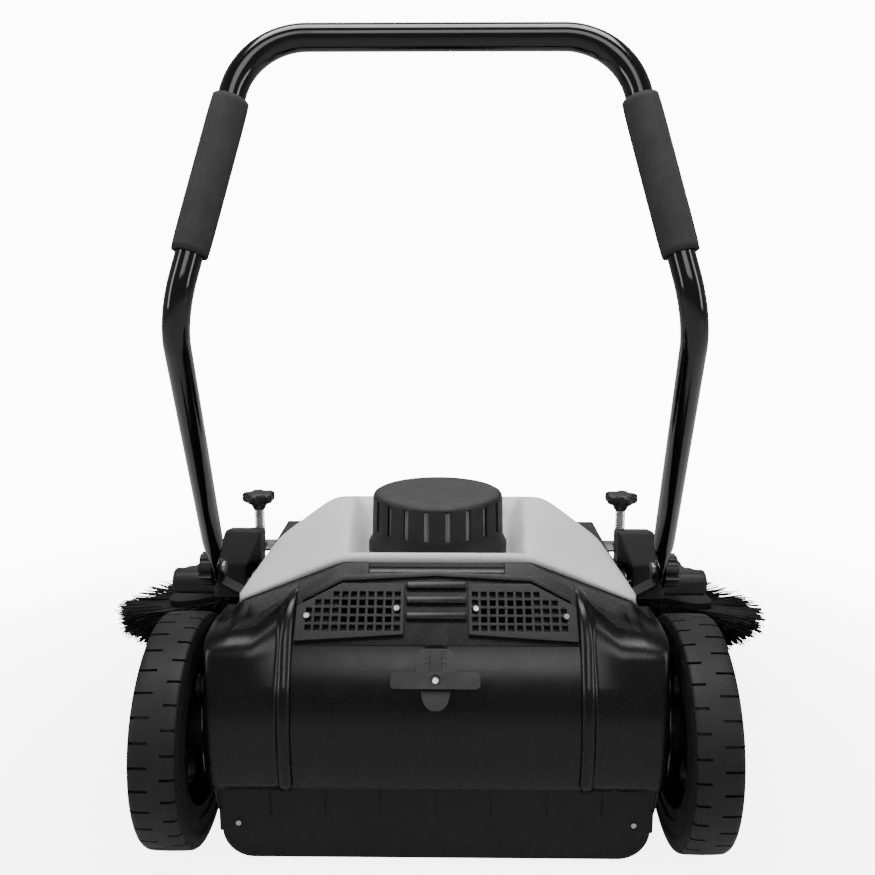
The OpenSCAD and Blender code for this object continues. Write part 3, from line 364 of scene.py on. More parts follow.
def soften_cast(obj):
    """The generous soft edges of a moulded gear case."""
    grid = obj.modifiers.new("even_grid", "REMESH")
    grid.mode = "VOXEL"
    grid.voxel_size = SOFT_GRID
    soften = obj.modifiers.new("soft_edges", "SMOOTH")
    soften.factor = 0.5
    soften.iterations = 10


def round_edges(obj, radius):
    bevel = obj.modifiers.new("edge_round", "BEVEL")
    bevel.width = radius / 1000
    bevel.segments = 2
    bevel.limit_method = "ANGLE"
    bevel.angle_limit = ROUNDED_FROM
    even = obj.modifiers.new("even_normals", "WEIGHTED_NORMAL")
    even.keep_sharp = False


def dress_node(name):
    obj = NODE[name]
    subparts = frame["record"]["subparts"]
    slot = next(part["material_slot"] for part in subparts if part["node"] == name)
    obj.data.materials.clear()
    obj.data.materials.append(FINISH[slot])
    obj.data.polygons.foreach_set("use_smooth", [True] * len(obj.data.polygons))
    weld = obj.modifiers.new("merge", "WELD")
    weld.merge_threshold = 1e-5
    if name in SOFT_CASTS:
        soften_cast(obj)
    else:
        round_edges(obj, EDGE_ROUND.get(name, USUAL_ROUND))


for node_name in NODE:
    dress_node(node_name)


# Handle tube and foam grips

PIVOT, BEND, CORNER = (279, 141, 270), (231, -152, 604.06), (171, -75, 853)
TUBE_R, BEND_R, CORNER_R = 0.0125, 0.07, 0.068
FLAT_END = (  # distance from the pivot, half width, half thickness
    (-0.013, 0.006, 0.0022), (-0.011, 0.0105, 0.003), (-0.005, 0.0145, 0.003),
    (0.0, 0.0155, 0.003), (0.012, 0.0158, 0.003), (0.02, 0.0157, 0.0036),
    (0.032, 0.0152, 0.0062), (0.046, 0.0142, 0.0094), (0.06, 0.0131, 0.0117),
    (0.075, TUBE_R, TUBE_R))
GRIP_FROM, GRIP_TO = 0.12, 0.96  # shares of the straight between the two bends
GRIP_R, GRIP_LIP_R, GRIP_FACE_R, GRIP_BORE_R = 0.0172, 0.0158, 0.0138, 0.01275
GRIP_STEPS = 32


def corner_points(a, b, c, radius, steps):
    """Points along the round bend at b between two straights."""
    u, v = (a - b).normalized(), (c - b).normalized()
    half = u.angle(v) / 2
    middle = b + (u + v).normalized() * radius / math.sin(half)
    first = b + u * radius / math.tan(half)
    out = (first - middle).normalized()
    points = []
    for i in range(steps + 1):
        turn = (math.pi - 2 * half) * i / steps
        points.append(middle + radius * (out * math.cos(turn) - u * math.sin(turn)))
    return points


def handle_side(s):
    """The flattened end, the bend and the top corner of one side of the handle."""
    pivot, bend, corner = (mm(s * x, y, z) for x, y, z in (PIVOT, BEND, CORNER))
    across = mm(0, CORNER[1], CORNER[2])
    ahead = (bend - pivot).normalized()
    start = [pivot + ahead * distance for distance, _, _ in FLAT_END]
    return (start, corner_points(pivot, bend, corner, BEND_R, 18),
            corner_points(bend, corner, across, CORNER_R, 22))


def handle_mesh(bm):
    right, left = (sum(handle_side(s), []) for s in (1, -1))
    points = right + list(reversed(left))
    flat = [(wide, thick) for _, wide, thick in FLAT_END]
    straight = [(TUBE_R, TUBE_R)] * (len(points) - 2 * len(flat))
    sweep(bm, points, flat + straight + list(reversed(flat)), 32)


new_piece("handle_bent_tube", mesh_from("handle_bent_tube", handle_mesh),
          "tube_black", "handle", ["handle_tube"])


def grip_mesh(s):
    def build(bm):
        _, bend, corner = handle_side(s)
        a, b = (bend[-1].lerp(corner[0], share) for share in (GRIP_FROM, GRIP_TO))
        length = (b - a).length
        turn = (b - a).normalized().to_track_quat("Z", "Y").to_matrix().to_4x4()
        outer = []
        for i in range(GRIP_STEPS + 1):
            t = i / GRIP_STEPS
            outer.append((GRIP_R - 0.0006 * (2 * t - 1) ** 8, t * length))
        lip = [(GRIP_LIP_R, length + 0.0001), (GRIP_FACE_R, length + 0.0006),
               (GRIP_BORE_R, length - 0.001)]
        foot = [(GRIP_BORE_R, 0.001), (GRIP_FACE_R, -0.0006), (GRIP_LIP_R, -0.0001)]
        revolve(bm, outer + lip + foot, 48, Matrix.Translation(a) @ turn)
    return build


for side, sign in SIDES:
    foam = mesh_from(f"{side}_foam_grip", grip_mesh(sign))
    grip = new_piece(f"{side}_foam_grip", foam, "grip_foam", "handle", [f"{side}_grip"])


# Helpers for Geometry Nodes trees


def make_tree(name, inputs):
    return make_group("GeometryNodeTree", name, [("Geometry", "Geometry", None), *inputs],
                      [("Geometry", "Geometry")])


def named_value(tree, kind, name):
    node = tree.nodes.new("GeometryNodeInputNamedAttribute")
    node.data_type = kind
    node.inputs["Name"].default_value = name
    return node.outputs["Attribute"]


def end_tree(tree, source, result, geometry):
    """Makes the instances real, sets the finish and puts the geometry out."""
    solid = tree.nodes.new("GeometryNodeRealizeInstances")
    paint = tree.nodes.new("GeometryNodeSetMaterial")
    tree.links.new(geometry, solid.inputs["Geometry"])
    tree.links.new(solid.outputs["Geometry"], paint.inputs["Geometry"])
    tree.links.new(source.outputs["Finish"], paint.inputs["Material"])
    tree.links.new(paint.outputs["Geometry"], result.inputs["Geometry"])


# Tyres: a turned carcass whose marked faces are pressed in as tread grooves

TREAD_COUNT = 33
TYRE_W, TYRE_INNER_X, AXLE_Z = 51, 261, 130
TYRE_HALF = (  # radius and distance from the edge, up to the middle of the tread
    (96, 0.0), (104, 0.2), (112, 0.8), (113, -0.2), (118.5, -0.2), (120, 0.7), (125.5, 1.1),
    (128.0, 2.0), (129.2, 4.2), (129.7, 9.0), (129.9, 16.0), (130, 22.5))
INNER_ROW, OUTER_ROW = range(6, 10), range(13, 17)  # stations that the two groove rows cross
GROOVE_DEPTH = 0.004
GROOVE_TURN = 0.0028 / 0.13


def groove_tree():
    tree, source, result = make_tree(
        "tread_grooves",
        [("Groove depth", "Float", GROOVE_DEPTH), ("Finish", "Material", FINISH["tyre_rubber"])])
    press = tree.nodes.new("GeometryNodeExtrudeMesh")
    press.mode = "FACES"
    press.inputs["Individual"].default_value = False
    inwards = add_product(tree, source.outputs["Groove depth"], -1)
    tree.links.new(source.outputs["Geometry"], press.inputs["Mesh"])
    tree.links.new(named_value(tree, "BOOLEAN", "groove"), press.inputs["Selection"])
    tree.links.new(inwards, press.inputs["Offset Scale"])
    end_tree(tree, source, result, press.outputs["Mesh"])
    return tree


def tyre_carcass(sign):
    """The tyre from the housing side outwards, with the groove faces of both rows marked."""
    stations = [*TYRE_HALF, (TYRE_HALF[-1][0], TYRE_W / 2)]
    stations += [(r, TYRE_W - across) for r, across in reversed(TYRE_HALF)]
    pitch = FULL_TURN / TREAD_COUNT
    steps = (0, GROOVE_TURN, pitch * 0.3, pitch / 2, pitch / 2 + GROOVE_TURN, pitch * 0.8)
    turns = [i * pitch + step for i in range(TREAD_COUNT) for step in steps]

    def build(bm):
        layer = bm.faces.layers.bool.new("groove")
        rings = []
        for turn in turns:
            rings.append([bm.verts.new(mm(sign * (TYRE_INNER_X + across), r * math.cos(turn),
                                          AXLE_Z + r * math.sin(turn)))
                          for r, across in stations])
        for number, face in enumerate(bridge(bm, rings, around=True)):
            step, station = number // len(stations) % len(steps), number % len(stations)
            face[layer] = (step == 0 and station in INNER_ROW) or (
                step == 3 and station in OUTER_ROW)
    return build


TREAD = groove_tree()
for side, sign in SIDES:
    carcass = mesh_from(f"{side}_carcass", tyre_carcass(sign))
    tyre = evaluated_mesh(carcass, TREAD, {
        "Groove depth": GROOVE_DEPTH, "Finish": FINISH["tyre_rubber"]}, f"{side}_grooved_tyre")
    sharp_edges(tyre, 50)
    new_piece(f"{side}_grooved_tyre", tyre, "tyre_rubber", f"{side}_wheel", [f"{side}_tyre"])


# Bristles: strands set on points that carry their own direction and length


def strand_tree():
    tree, source, result = make_tree(
        "bristle_strands",
        [("Thickness", "Float", 0.0006), ("Tip share", "Float", 0.45), ("Seed", "Int", 7),
         ("Finish", "Material", FINISH["bristle_black"])])
    nodes, links = tree.nodes, tree.links
    strand = nodes.new("GeometryNodeMeshCone")
    strand.fill_type = "NONE"
    strand.inputs["Vertices"].default_value = 3
    strand.inputs["Side Segments"].default_value = 4
    strand.inputs["Depth"].default_value = 1
    tip = add_product(tree, source.outputs["Thickness"], source.outputs["Tip share"])
    links.new(tip, strand.inputs["Radius Top"])
    links.new(source.outputs["Thickness"], strand.inputs["Radius Bottom"])
    turn = nodes.new("FunctionNodeAlignRotationToVector")
    turn.axis = "Z"
    links.new(named_value(tree, "FLOAT_VECTOR", "aim"), turn.inputs["Vector"])
    vary = nodes.new("FunctionNodeRandomValue")
    vary.data_type = "FLOAT"
    vary.inputs["Min"].default_value = 0.9
    vary.inputs["Max"].default_value = 1.02
    links.new(source.outputs["Seed"], vary.inputs["Seed"])
    length = add_product(tree, named_value(tree, "FLOAT", "reach"), vary.outputs["Value"])
    scale = nodes.new("ShaderNodeCombineXYZ")
    scale.inputs["X"].default_value = 1
    scale.inputs["Y"].default_value = 1
    links.new(length, scale.inputs["Z"])
    plant = nodes.new("GeometryNodeInstanceOnPoints")
    links.new(source.outputs["Geometry"], plant.inputs["Points"])
    links.new(strand.outputs["Mesh"], plant.inputs["Instance"])
    links.new(turn.outputs["Rotation"], plant.inputs["Rotation"])
    links.new(scale.outputs["Vector"], plant.inputs["Scale"])
    end_tree(tree, source, result, plant.outputs["Instances"])
    return tree


STRANDS = strand_tree()


def scatter(i, salt):
    """A repeatable spread value from 0 to 1."""
    return math.modf(abs(math.sin((i + 1) * 12.9898 + salt * 78.233)) * 43758.5453)[0]


def stray(i, salt, width):
    """A repeatable spread value round 0, over a width."""
    return (scatter(i, salt) - 0.5) * width


def points_mesh(name, roots):
    """Loose points with an aim and a reach for each strand."""
    mesh = bpy.data.meshes.new(name)
    mesh.from_pydata([root for root, _, _ in roots], [], [])
    aim = mesh.attributes.new("aim", "FLOAT_VECTOR", "POINT")
    aim.data.foreach_set("vector", [c for _, direction, _ in roots for c in direction])
    reach = mesh.attributes.new("reach", "FLOAT", "POINT")
    reach.data.foreach_set("value", [length for _, _, length in roots])
    return mesh


def strands_mesh(name, roots, thickness, tip_share, seed):
    return evaluated_mesh(points_mesh(f"{name}_roots", roots), STRANDS, {
        "Thickness": thickness, "Tip share": tip_share, "Seed": seed,
        "Finish": FINISH["bristle_black"]}, name)


ARM_DROP = math.radians(10.5)
SPINDLE = (350, 385, 215 - 135 * math.tan(ARM_DROP))
BRUSH_ROLL, BRUSH_PITCH = math.radians(12), math.radians(6)
BRUSH_RINGS, OUTER_FROM_RING = 9, 6
INNER_TUFT, OUTER_TUFT = 10, 26  # strands in a tuft
FLARE_MAX = math.radians(103)
ROOT_Z = -0.0425
BACKING = ((0.028, -0.042), (0.074, -0.042), (0.0745, -0.0445), (0.0725, -0.046), (0.03, -0.046))


def brush_place(sign):
    turn = Matrix.Rotation(sign * BRUSH_ROLL, 4, "Y") @ Matrix.Rotation(-BRUSH_PITCH, 4, "X")
    return Matrix.Translation(mm(sign * SPINDLE[0], SPINDLE[1], SPINDLE[2])) @ turn


def side_brush_roots(sign):
    """Rings of tufts, nearly upright by the hub and flared flat at the rim."""
    place = brush_place(sign)
    turn = place.to_3x3()
    roots = []
    number = 0
    for ring in range(BRUSH_RINGS):
        share = ring / (BRUSH_RINGS - 1)
        radius = 0.032 + 0.04 * share
        tufts = int(26 + 30 * share)
        for tuft in range(tufts):
            centre = FULL_TURN * (tuft + 0.5 * (ring % 2)) / tufts
            for _ in range(INNER_TUFT if ring < OUTER_FROM_RING else OUTER_TUFT):
                number += 1
                spin = centre + stray(number, 1, 0.16)
                flare = min(math.radians(12 + 78 * share + stray(number, 2, 30)), FLARE_MAX)
                length = (0.068 + 0.013 * share) * (0.9 + 0.14 * scatter(number, 3))
                out = polar(1, spin)
                along = Vector((-out.y, out.x, 0))
                aim = out * math.sin(flare) + along * stray(number, 4, 0.22)
                aim = (aim - Vector((0, 0, math.cos(flare)))).normalized()
                root = polar(radius + stray(number, 5, 0.004), spin, ROOT_Z)
                roots.append((place @ root, turn @ aim, length))
    return roots


def backing_ring(sign):
    def build(bm):
        revolve(bm, BACKING, 64, brush_place(sign))
    return build


def joined(meshes, name):
    bm = bmesh.new()
    for mesh in meshes:
        bm.from_mesh(mesh)
    result = bpy.data.meshes.new(name)
    bm.to_mesh(result)
    bm.free()
    return result


for side, sign in SIDES:
    strands = strands_mesh(f"{side}_strands", side_brush_roots(sign), 0.0011, 0.7, 11)
    backing = mesh_from(f"{side}_backing", backing_ring(sign))
    new_piece(f"{side}_brush_strands", joined([strands, backing], f"{side}_side_brush"),
              "bristle_black", f"{side}_brush", [f"{side}_side_bristles"])

ROLLER_AXIS = mm(0, 60, 118)
ROLLER_ROWS, ROLLER_STEPS, ROLLER_TUFT = 12, 100, 6
ROLLER_W, CORE_R, ROLLER_REACH = 0.4, 0.04, 0.068
ROLLER_TWIST = 4  # radians along each metre of the roller


def roller_roots():
    """Twisted rows of strands standing straight out of the core."""
    roots = []
    number = 0
    for row in range(ROLLER_ROWS):
        for step in range(ROLLER_STEPS):
            for _ in range(ROLLER_TUFT):
                number += 1
                x = -ROLLER_W / 2 + ROLLER_W * (step + scatter(number, 1)) / ROLLER_STEPS
                turn = FULL_TURN * row / ROLLER_ROWS + x * ROLLER_TWIST + stray(number, 2, 0.12)
                up = Vector((0, math.cos(turn), math.sin(turn)))
                aim = (up + Vector((stray(number, 3, 0.16), 0, 0))).normalized()
                roots.append((ROLLER_AXIS + Vector((x, 0, 0)) + up * CORE_R, aim, ROLLER_REACH))
    return roots


new_piece("roller_strands", strands_mesh("roller_strands", roller_roots(), 0.0008, 0.6, 5),
          "bristle_black", "roller", ["roller_bristles"])


# Hood: rounded flat faces, with a channel for the cap behind a rear rim

HOOD_HALF, HOOD_FRONT_HALF, HOOD_FRONT_Y, HOOD_BRIM_Z = 236.0, 205.0, 434, 251.5
RIDGE_Y, RIDGE_Z, FRONT_FALL = 215, 347, 45 / 165
FLANK_X, FLANK_FALL = 140, 0.81
CHANNEL_Z, CHANNEL_SLOPE = 306.0, 0.59


def blend_low(values, soft):
    """The lowest of some heights, with the corners between them rounded off."""
    least = min(values)
    return least - soft * math.log(sum(math.exp((least - v) / soft) for v in values))


def blend_high(values, soft):
    return -blend_low([-v for v in values], soft)


def hood_rear(x):
    """Where the hood's rear edge runs and how high its lower line is, off the middle."""
    if x <= 105:
        return 22.0, 321.0
    if x <= 230:
        share = (x - 105) / 125
        return 22 + 30 * share, 321 - 58 * share
    return 52 + 20 * (x - 230) / 6, 263 - 12 * (x - 230) / 6


def hood_height(x, y):
    """The lowest of the hood's flat faces at a place, cut by the channel."""
    past = y - RIDGE_Y
    outside = blend_low([
        331 + (y - 24) * 16 / 191,  # top, rear
        RIDGE_Z - past * FRONT_FALL,  # top, front
        302 - (y - 380) * 40 / 54,  # nose
        384.5 - 0.5477 * x + 0.1822 * y,  # flank, rear
        RIDGE_Z - FLANK_FALL * (x - FLANK_X) - past * FRONT_FALL,  # flank, front
        287 - 1.636 * (x - 214) - (0.1 if past < 0 else 0.18) * past,  # low side
    ], 4.0)
    channel = blend_high([
        CHANNEL_Z, CHANNEL_Z + (x - 86) / CHANNEL_SLOPE,
        CHANNEL_Z + (y - 205) / CHANNEL_SLOPE, CHANNEL_Z + (30 - y) * 6], 2.0)
    return blend_low([outside, channel], 1.6)


def hood_half(y):
    """Half of the hood's width, narrower in front where its flanks run down to the brim."""
    if y <= RIDGE_Y:
        return HOOD_HALF
    drop = RIDGE_Z - HOOD_BRIM_Z - (y - RIDGE_Y) * FRONT_FALL
    flank = blend_low([HOOD_HALF, FLANK_X + drop / FLANK_FALL], 3.0)
    return blend_high([HOOD_FRONT_HALF, flank], 2.0)


def hood_mesh(bm):
    columns, rows = 58, 60
    across = [HOOD_HALF * i / columns for i in range(columns + 1)]
    along = [0, 0.004, 0.009, 0.0135, 0.017, 0.02, 0.023, 0.027, 0.033]
    along += [0.045 + 0.955 * i / rows for i in range(rows + 1)]
    foot_y = HOOD_FRONT_Y + 0.5
    for mirror in (1, -1):
        lines = []
        for x in across:
            start, low = hood_rear(x)
            line = [bm.verts.new(mm(mirror * x, start - 1.5, low))]
            for t in along:
                y = start + t * (HOOD_FRONT_Y - start)
                wide = x * hood_half(y) / HOOD_HALF
                height = max(HOOD_BRIM_Z, hood_height(wide, y))
                line.append(bm.verts.new(mm(mirror * wide, y, height)))
            front = x * hood_half(foot_y) / HOOD_HALF
            line.append(bm.verts.new(mm(mirror * front, foot_y, HOOD_BRIM_Z - 0.5)))
            lines.append(line)
        for near, far in zip(lines, lines[1:]):
            for k in range(len(near) - 1):
                bm.faces.new((near[k], far[k], far[k + 1], near[k + 1]))


hood = new_piece("hood_moulding", mesh_from("hood_moulding", hood_mesh),
                 "hood_grey", "hood", ["hood_shell"])
add_wall(hood, 0.0035)


def recess_shade_floor_mesh(bm):
    """The floor of the finger recess under the hood's rear rim, in the black housing finish as
    painted shade: it stands in for the shadow inside the recess.
    """
    top = [(10.5, 308), (15, 308.5), (20, 311.5), (23.5, 316), (25, 320.3)]
    under = [(y + 0.8, z - 1.6) for y, z in reversed(top)]
    rings = [[bm.verts.new(mm(x, y, z)) for y, z in top + under] for x in (-77, -75.5, 75.5, 77)]
    bridge(bm, rings, ends=True)


# Painted shade: a real floor for the recess, made black so the recess reads dark like the shadow
# under the rim.
recess_shade_floor = mesh_from("finger_recess_shade_floor", recess_shade_floor_mesh)
sharp_edges(recess_shade_floor, 50)
new_piece("finger_recess_shade_floor", recess_shade_floor, "housing_black", "chassis")


# Shoulders: one smooth skin a side, from the lower lip over the drum's curve to the hood's edge

DRUM_Y, DRUM_Z, DRUM_R = 85, 150, 168
LIP_DROP, CURVE_END = 52, math.radians(22)
RIB_X, RIB_W, RIB_H = 153, 15, 4.0
SKIN_EDGE = {236: 0.2, 241: 0.9, 244: 2.2, 246: 4.5, 247.4: 8.0, 248: 13.0}  # fall at the edge
SKIN_ACROSS = [153.2, 153.6, 154.6, 156.2, 158, 160, 162, 163.8, 165.4, 166.6, 168,
               *range(172, 236, 8), *SKIN_EDGE]


def rounded(line, passes):
    """Cuts a line's corners off, again and again, with its ends kept."""
    for _ in range(passes):
        soft = [line[0]]
        for a, b in zip(line, line[1:]):
            soft += [a.lerp(b, 0.25), a.lerp(b, 0.75)]
        line = soft + [line[-1]]
    return line


def eased(value, low, high):
    share = min(1.0, max(0.0, (value - low) / (high - low)))
    return share * share * (3 - 2 * share)


def shoulder_line(x, proud):
    """The skin's section in (y, z) off the middle; proud lifts a rib or drops an edge."""
    radius = DRUM_R + proud
    low = math.asin(-LIP_DROP / radius)
    line = []
    for i in range(15):
        turn = low + (CURVE_END - low) * i / 14
        line.append(Vector((DRUM_Y - radius * math.cos(turn), DRUM_Z + radius * math.sin(turn))))
    along = min(1.0, (x - 105) / 91)
    crown = Vector((13 - 64 * along - 0.6 * proud, 332 - 66 * along + 0.8 * proud))
    start, edge = hood_rear(min(x, HOOD_HALF))
    end = Vector((start - 0.5, edge - 1.2))
    return line + rounded([line[-1].lerp(crown, 0.02), crown, end], 4)[1:]


def shoulder_mesh(sign):
    def build(bm):
        columns = []
        for x in SKIN_ACROSS:
            share = (x - RIB_X) / RIB_W
            proud = RIB_H * math.sin(math.pi * share) ** 0.6 if share < 1 else 0.0
            column = []
            for y, z in shoulder_line(x, proud - SKIN_EDGE.get(x, 0.0)):
                reach = 3 * eased(z, 236, 254) * eased(x, 238, 248)
                column.append(bm.verts.new(mm(sign * (x + reach), y, z)))
            columns.append(column)
        for near, far in zip(columns, columns[1:]):
            for k in range(len(near) - 1):
                bm.faces.new((near[k], far[k], far[k + 1], near[k + 1]))
    return build


def skin_mesh(name, build, outward):
    """An open skin turned to face outwards, ready for its wall."""
    mesh = mesh_from(name, build)
    if sum(face.normal.dot(outward) for face in mesh.polygons) < 0:
        mesh.flip_normals()
    return mesh


for side, sign in SIDES:
    skin = skin_mesh(f"{side}_shoulder_skin", shoulder_mesh(sign), Vector((0, -1, 0.6)))
    shoulder = new_piece(f"{side}_shoulder_skin", skin, "housing_black", "chassis",
                         [f"{side}_shoulder"])
    add_wall(shoulder, 0.0038)


# Filter cap and its pleated filter

CAP_PLACE = Matrix.Translation(mm(0, 115, 0))
CAP_SLOTS, CAP_STEPS, BAR_STEPS = 20, 120, 5
SLOT_HALF_TURN = 0.003 / 0.079
LID = ((0.0, 0.3806), (0.04, 0.3805), (0.068, 0.3800), (0.0735, 0.3792), (0.0766, 0.3776),
       (0.0779, 0.3755), (0.0781, 0.3745), (0.0750, 0.3745), (0.074, 0.3765), (0.0, 0.377))
COLLAR = ((0.0792, 0.338), (0.0796, 0.3262), (0.0802, 0.3243), (0.0832, 0.3192),
          (0.084, 0.3172), (0.084, 0.3068), (0.0815, 0.3065), (0.0763, 0.327), (0.0763, 0.338))
BAR = (LID[6], COLLAR[0], COLLAR[-1], LID[7])
FOLDS, FOLD_OUT, FOLD_IN, FOLD_LOW, FOLD_HIGH = 180, 0.0735, 0.069, 0.308, 0.3715


def cap_mesh(bm):
    """A domed lid and a collar joined by the bars that the slots leave between them."""
    revolve(bm, LID, CAP_STEPS, CAP_PLACE)
    revolve(bm, COLLAR, CAP_STEPS, CAP_PLACE)
    for i in range(CAP_SLOTS):
        near = FULL_TURN * (i + 0.5) / CAP_SLOTS + SLOT_HALF_TURN
        far = FULL_TURN * (i + 1.5) / CAP_SLOTS - SLOT_HALF_TURN
        turns = [near + (far - near) * k / BAR_STEPS for k in range(BAR_STEPS + 1)]
        bridge(bm, [[bm.verts.new(CAP_PLACE @ polar(r, turn, z)) for r, z in BAR]
                    for turn in turns], ends=True)


cap = mesh_from("cap_moulding", cap_mesh)
sharp_edges(cap, 40)
new_piece("cap_moulding", cap, "cap_grey", "cap", ["filter_cap"])


def filter_mesh(bm):
    low, high = [], []
    for i in range(FOLDS):
        turn = FULL_TURN * i / FOLDS
        r = FOLD_OUT if i % 2 else FOLD_IN
        low.append(bm.verts.new(CAP_PLACE @ polar(r, turn, FOLD_LOW)))
        high.append(bm.verts.new(CAP_PLACE @ polar(r, turn, FOLD_HIGH)))
    bridge(bm, [low, high], ends=True)


new_piece("pleated_filter", mesh_from("pleated_filter", filter_mesh), "filter_paper", "hood",
          ["filter_element"], smooth=False)


# Side brush height screws: a lobed knob over a plated screw with a spring round it

SCREW_X, SCREW_Y = 262, 322
KNOB_R, LOBE_DEPTH, LOBES, KNOB_SIDES = 24, 6.5, 5, 80
KNOB_RINGS = (  # share of the radius, share of the lobes' depth, height in mm
    (0.37, 0, 299.5), (0.42, 0, 303), (0.55, 0.2, 307), (0.86, 0.8, 309.5), (0.97, 1, 311),
    (1, 1, 313.5), (1, 1, 319), (0.97, 1, 321.5), (0.9, 1, 322.8), (0.6, 0.6, 323.4),
    (0.2, 0, 323.2))
SCREW_FOOT, SCREW_TOP = 0.176, 0.3
THREADS, THREAD_FROM, THREAD_LENGTH, THREAD_IN, THREAD_OUT = 72, 0.1765, 0.123, 0.0044, 0.005
WASHER = ((0.0049, 0.2463), (0.0097, 0.2463), (0.01, 0.2468), (0.01, 0.2498), (0.0097, 0.2503),
          (0.0049, 0.2503))
COIL_TURNS, COIL_STEPS, COIL_R, WIRE_R, WIRE_SIDES = 13, 20, 0.0066, 0.0009, 6
COIL_FROM, COIL_LENGTH = 0.2514, 0.047


def knob_mesh(sign):
    def build(bm):
        rings = []
        for scale, lobe, z in KNOB_RINGS:
            ring = []
            for k in range(KNOB_SIDES):
                turn = FULL_TURN * k / KNOB_SIDES
                dip = (0.5 - 0.5 * math.cos(LOBES * turn)) ** 1.6
                r = scale * (KNOB_R - lobe * LOBE_DEPTH * dip)
                x, y = SCREW_X + r * math.cos(turn), SCREW_Y + r * math.sin(turn)
                ring.append(bm.verts.new(mm(sign * x, y, z)))
            rings.append(ring)
        bridge(bm, rings, ends=True)
    return build


def add_spring(bm, centre):
    count = COIL_TURNS * COIL_STEPS
    rings = []
    for i in range(count + 1):
        turn = FULL_TURN * i / COIL_STEPS
        out = polar(1, turn)
        point = centre + polar(COIL_R, turn, COIL_FROM + COIL_LENGTH * i / count)
        ring = []
        for k in range(WIRE_SIDES):
            across, up, _ = polar(WIRE_R, FULL_TURN * k / WIRE_SIDES)
            ring.append(bm.verts.new(point + out * across + Vector((0, 0, up))))
        rings.append(ring)
    bridge(bm, rings, ends=True)


def screw_mesh(sign):
    def build(bm):
        centre = mm(sign * SCREW_X, SCREW_Y, 0)
        place = Matrix.Translation(centre)
        thread = []
        for i in range(THREADS):
            z = THREAD_FROM + i * THREAD_LENGTH / THREADS
            thread += [(THREAD_IN, z), (THREAD_OUT, z + 0.0008)]
        revolve(bm, [(0.0, SCREW_FOOT), *thread, (0.0, SCREW_TOP)], 24, place)
        revolve(bm, WASHER, 32, place)
        add_spring(bm, centre)
    return build


for side, sign in SIDES:
    new_piece(f"{side}_lobed_knob", mesh_from(f"{side}_lobed_knob", knob_mesh(sign)),
              "knob_black", f"{side}_adjuster", [f"{side}_adjust_knob"])
    plated = mesh_from(f"{side}_plated_screw", screw_mesh(sign))
    sharp_edges(plated, 60)
    new_piece(f"{side}_plated_screw", plated, "zinc_steel", f"{side}_adjuster")


# Camera, backdrop and light

camera_data = bpy.data.cameras.new("photo_view")
camera_data.sensor_width = 36
camera_data.lens = 37.56
camera = bpy.data.objects.new("photo_view", camera_data)
camera.location = mm(13, -959, 654)
camera.rotation_euler = (math.radians(79), 0, math.radians(0.71))
SCENE.collection.objects.link(camera)
SCENE.camera = camera

BACKDROP_GLOW = 12.0
FLOOR_R, CURVE_R, WALL_TOP = 5.0, 2, 7.0
CURVE_STEPS, BOWL_SIDES = 12, 64


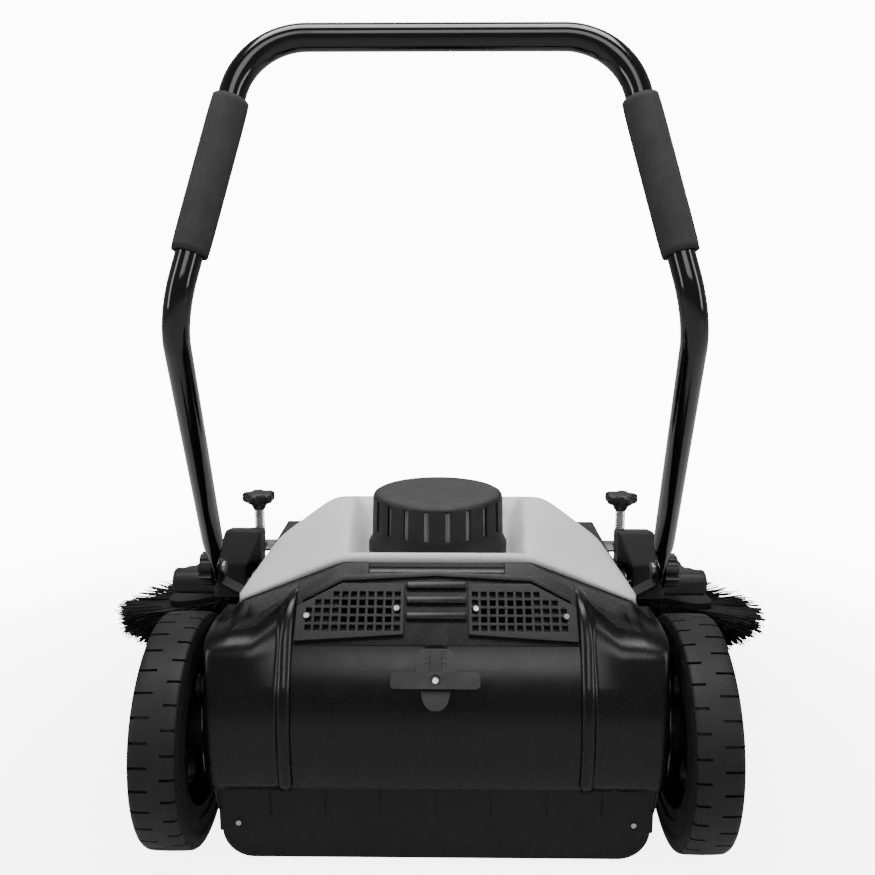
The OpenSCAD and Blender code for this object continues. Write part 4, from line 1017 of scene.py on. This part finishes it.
def backdrop_material():
    """A pale seamless backdrop, bright to the camera and dim in what it casts on the machine,
    with its glow lowered round the machine's middle as a painted shadow.
    """
    material = finish("pale_backdrop", 0.4, 0.42, (0.7, 0.8), grain=200, depth=0.01, drift=1.5)
    tree = material.node_tree
    place = tree.nodes.new("ShaderNodeTexCoord")
    far = tree.nodes.new("ShaderNodeVectorMath")
    far.operation = "LENGTH"
    tree.links.new(place.outputs["Object"], far.inputs[0])
    # Painted shadow: the glow drops to 0.45 within 0.35 m of the machine's middle, a darker pool
    # round its foot.
    glow_with_painted_shadow = add_range(tree, far.outputs["Value"], From_Min=0.35, From_Max=1.5, To_Min=0.45)
    glow_with_painted_shadow.interpolation_type = "SMOOTHSTEP"
    path = tree.nodes.new("ShaderNodeLightPath")
    seen = add_range(tree, path.outputs["Is Camera Ray"], To_Min=0.016)
    both = add_product(tree, glow_with_painted_shadow.outputs["Result"], seen.outputs["Result"])
    shader = tree.nodes["Principled BSDF"]
    tree.links.new(both, shader.inputs["Emission Color"])
    shader.inputs["Emission Strength"].default_value = BACKDROP_GLOW
    return material


def backdrop_bowl(bm):
    """A floor that curves up into a wall all the way round."""
    line = [(0.5, 0.0), (2.0, 0.0), (FLOOR_R, 0.0)]
    for i in range(1, CURVE_STEPS + 1):
        turn = math.pi / 2 * i / CURVE_STEPS
        line.append((FLOOR_R + CURVE_R * math.sin(turn), CURVE_R - CURVE_R * math.cos(turn)))
    line.append((FLOOR_R + CURVE_R, WALL_TOP))
    rows = []
    for radius, z in line:
        rows.append([bm.verts.new(polar(radius, FULL_TURN * k / BOWL_SIDES, z))
                     for k in range(BOWL_SIDES)])
    bm.faces.new(rows[0])
    bridge(bm, rows)


backdrop_mesh = mesh_from("backdrop", backdrop_bowl)
backdrop_mesh.materials.append(backdrop_material())
backdrop = bpy.data.objects.new("backdrop", backdrop_mesh)
SCENE.collection.objects.link(backdrop)

world = bpy.data.worlds.new("studio")
SCENE.world = world
world.use_nodes = True
world.node_tree.nodes["Background"].inputs["Color"].default_value = (1, 1, 1, 1)
world.node_tree.nodes["Background"].inputs["Strength"].default_value = 0.25


def soft_light(name, place, aim, size, power):
    data = bpy.data.lights.new(name, "AREA")
    data.shape = "RECTANGLE"
    data.size, data.size_y = size
    data.energy = power
    obj = bpy.data.objects.new(name, data)
    obj.location = place
    obj.rotation_euler = (Vector(aim) - Vector(place)).to_track_quat("-Z", "Y").to_euler()
    SCENE.collection.objects.link(obj)


soft_light("overhead", (0.0, -0.4, 2.3), (0, 0, 0.3), (1.8, 0.9), 95)
soft_light("left_bank", (-2.0, -1.2, 1.2), (0, 0, 0.4), (0.5, 1.6), 26)
soft_light("right_bank", (2.0, -1.2, 1.2), (0, 0, 0.4), (0.5, 1.6), 26)
soft_light("rear_wash", (0.3, -3.3, 2.7), (0, 0, 0.25), (2.0, 1.4), 60)
soft_light("far_side", (0.0, 2.6, 3.0), (0, 0, 0.2), (2.6, 1.2), 55)
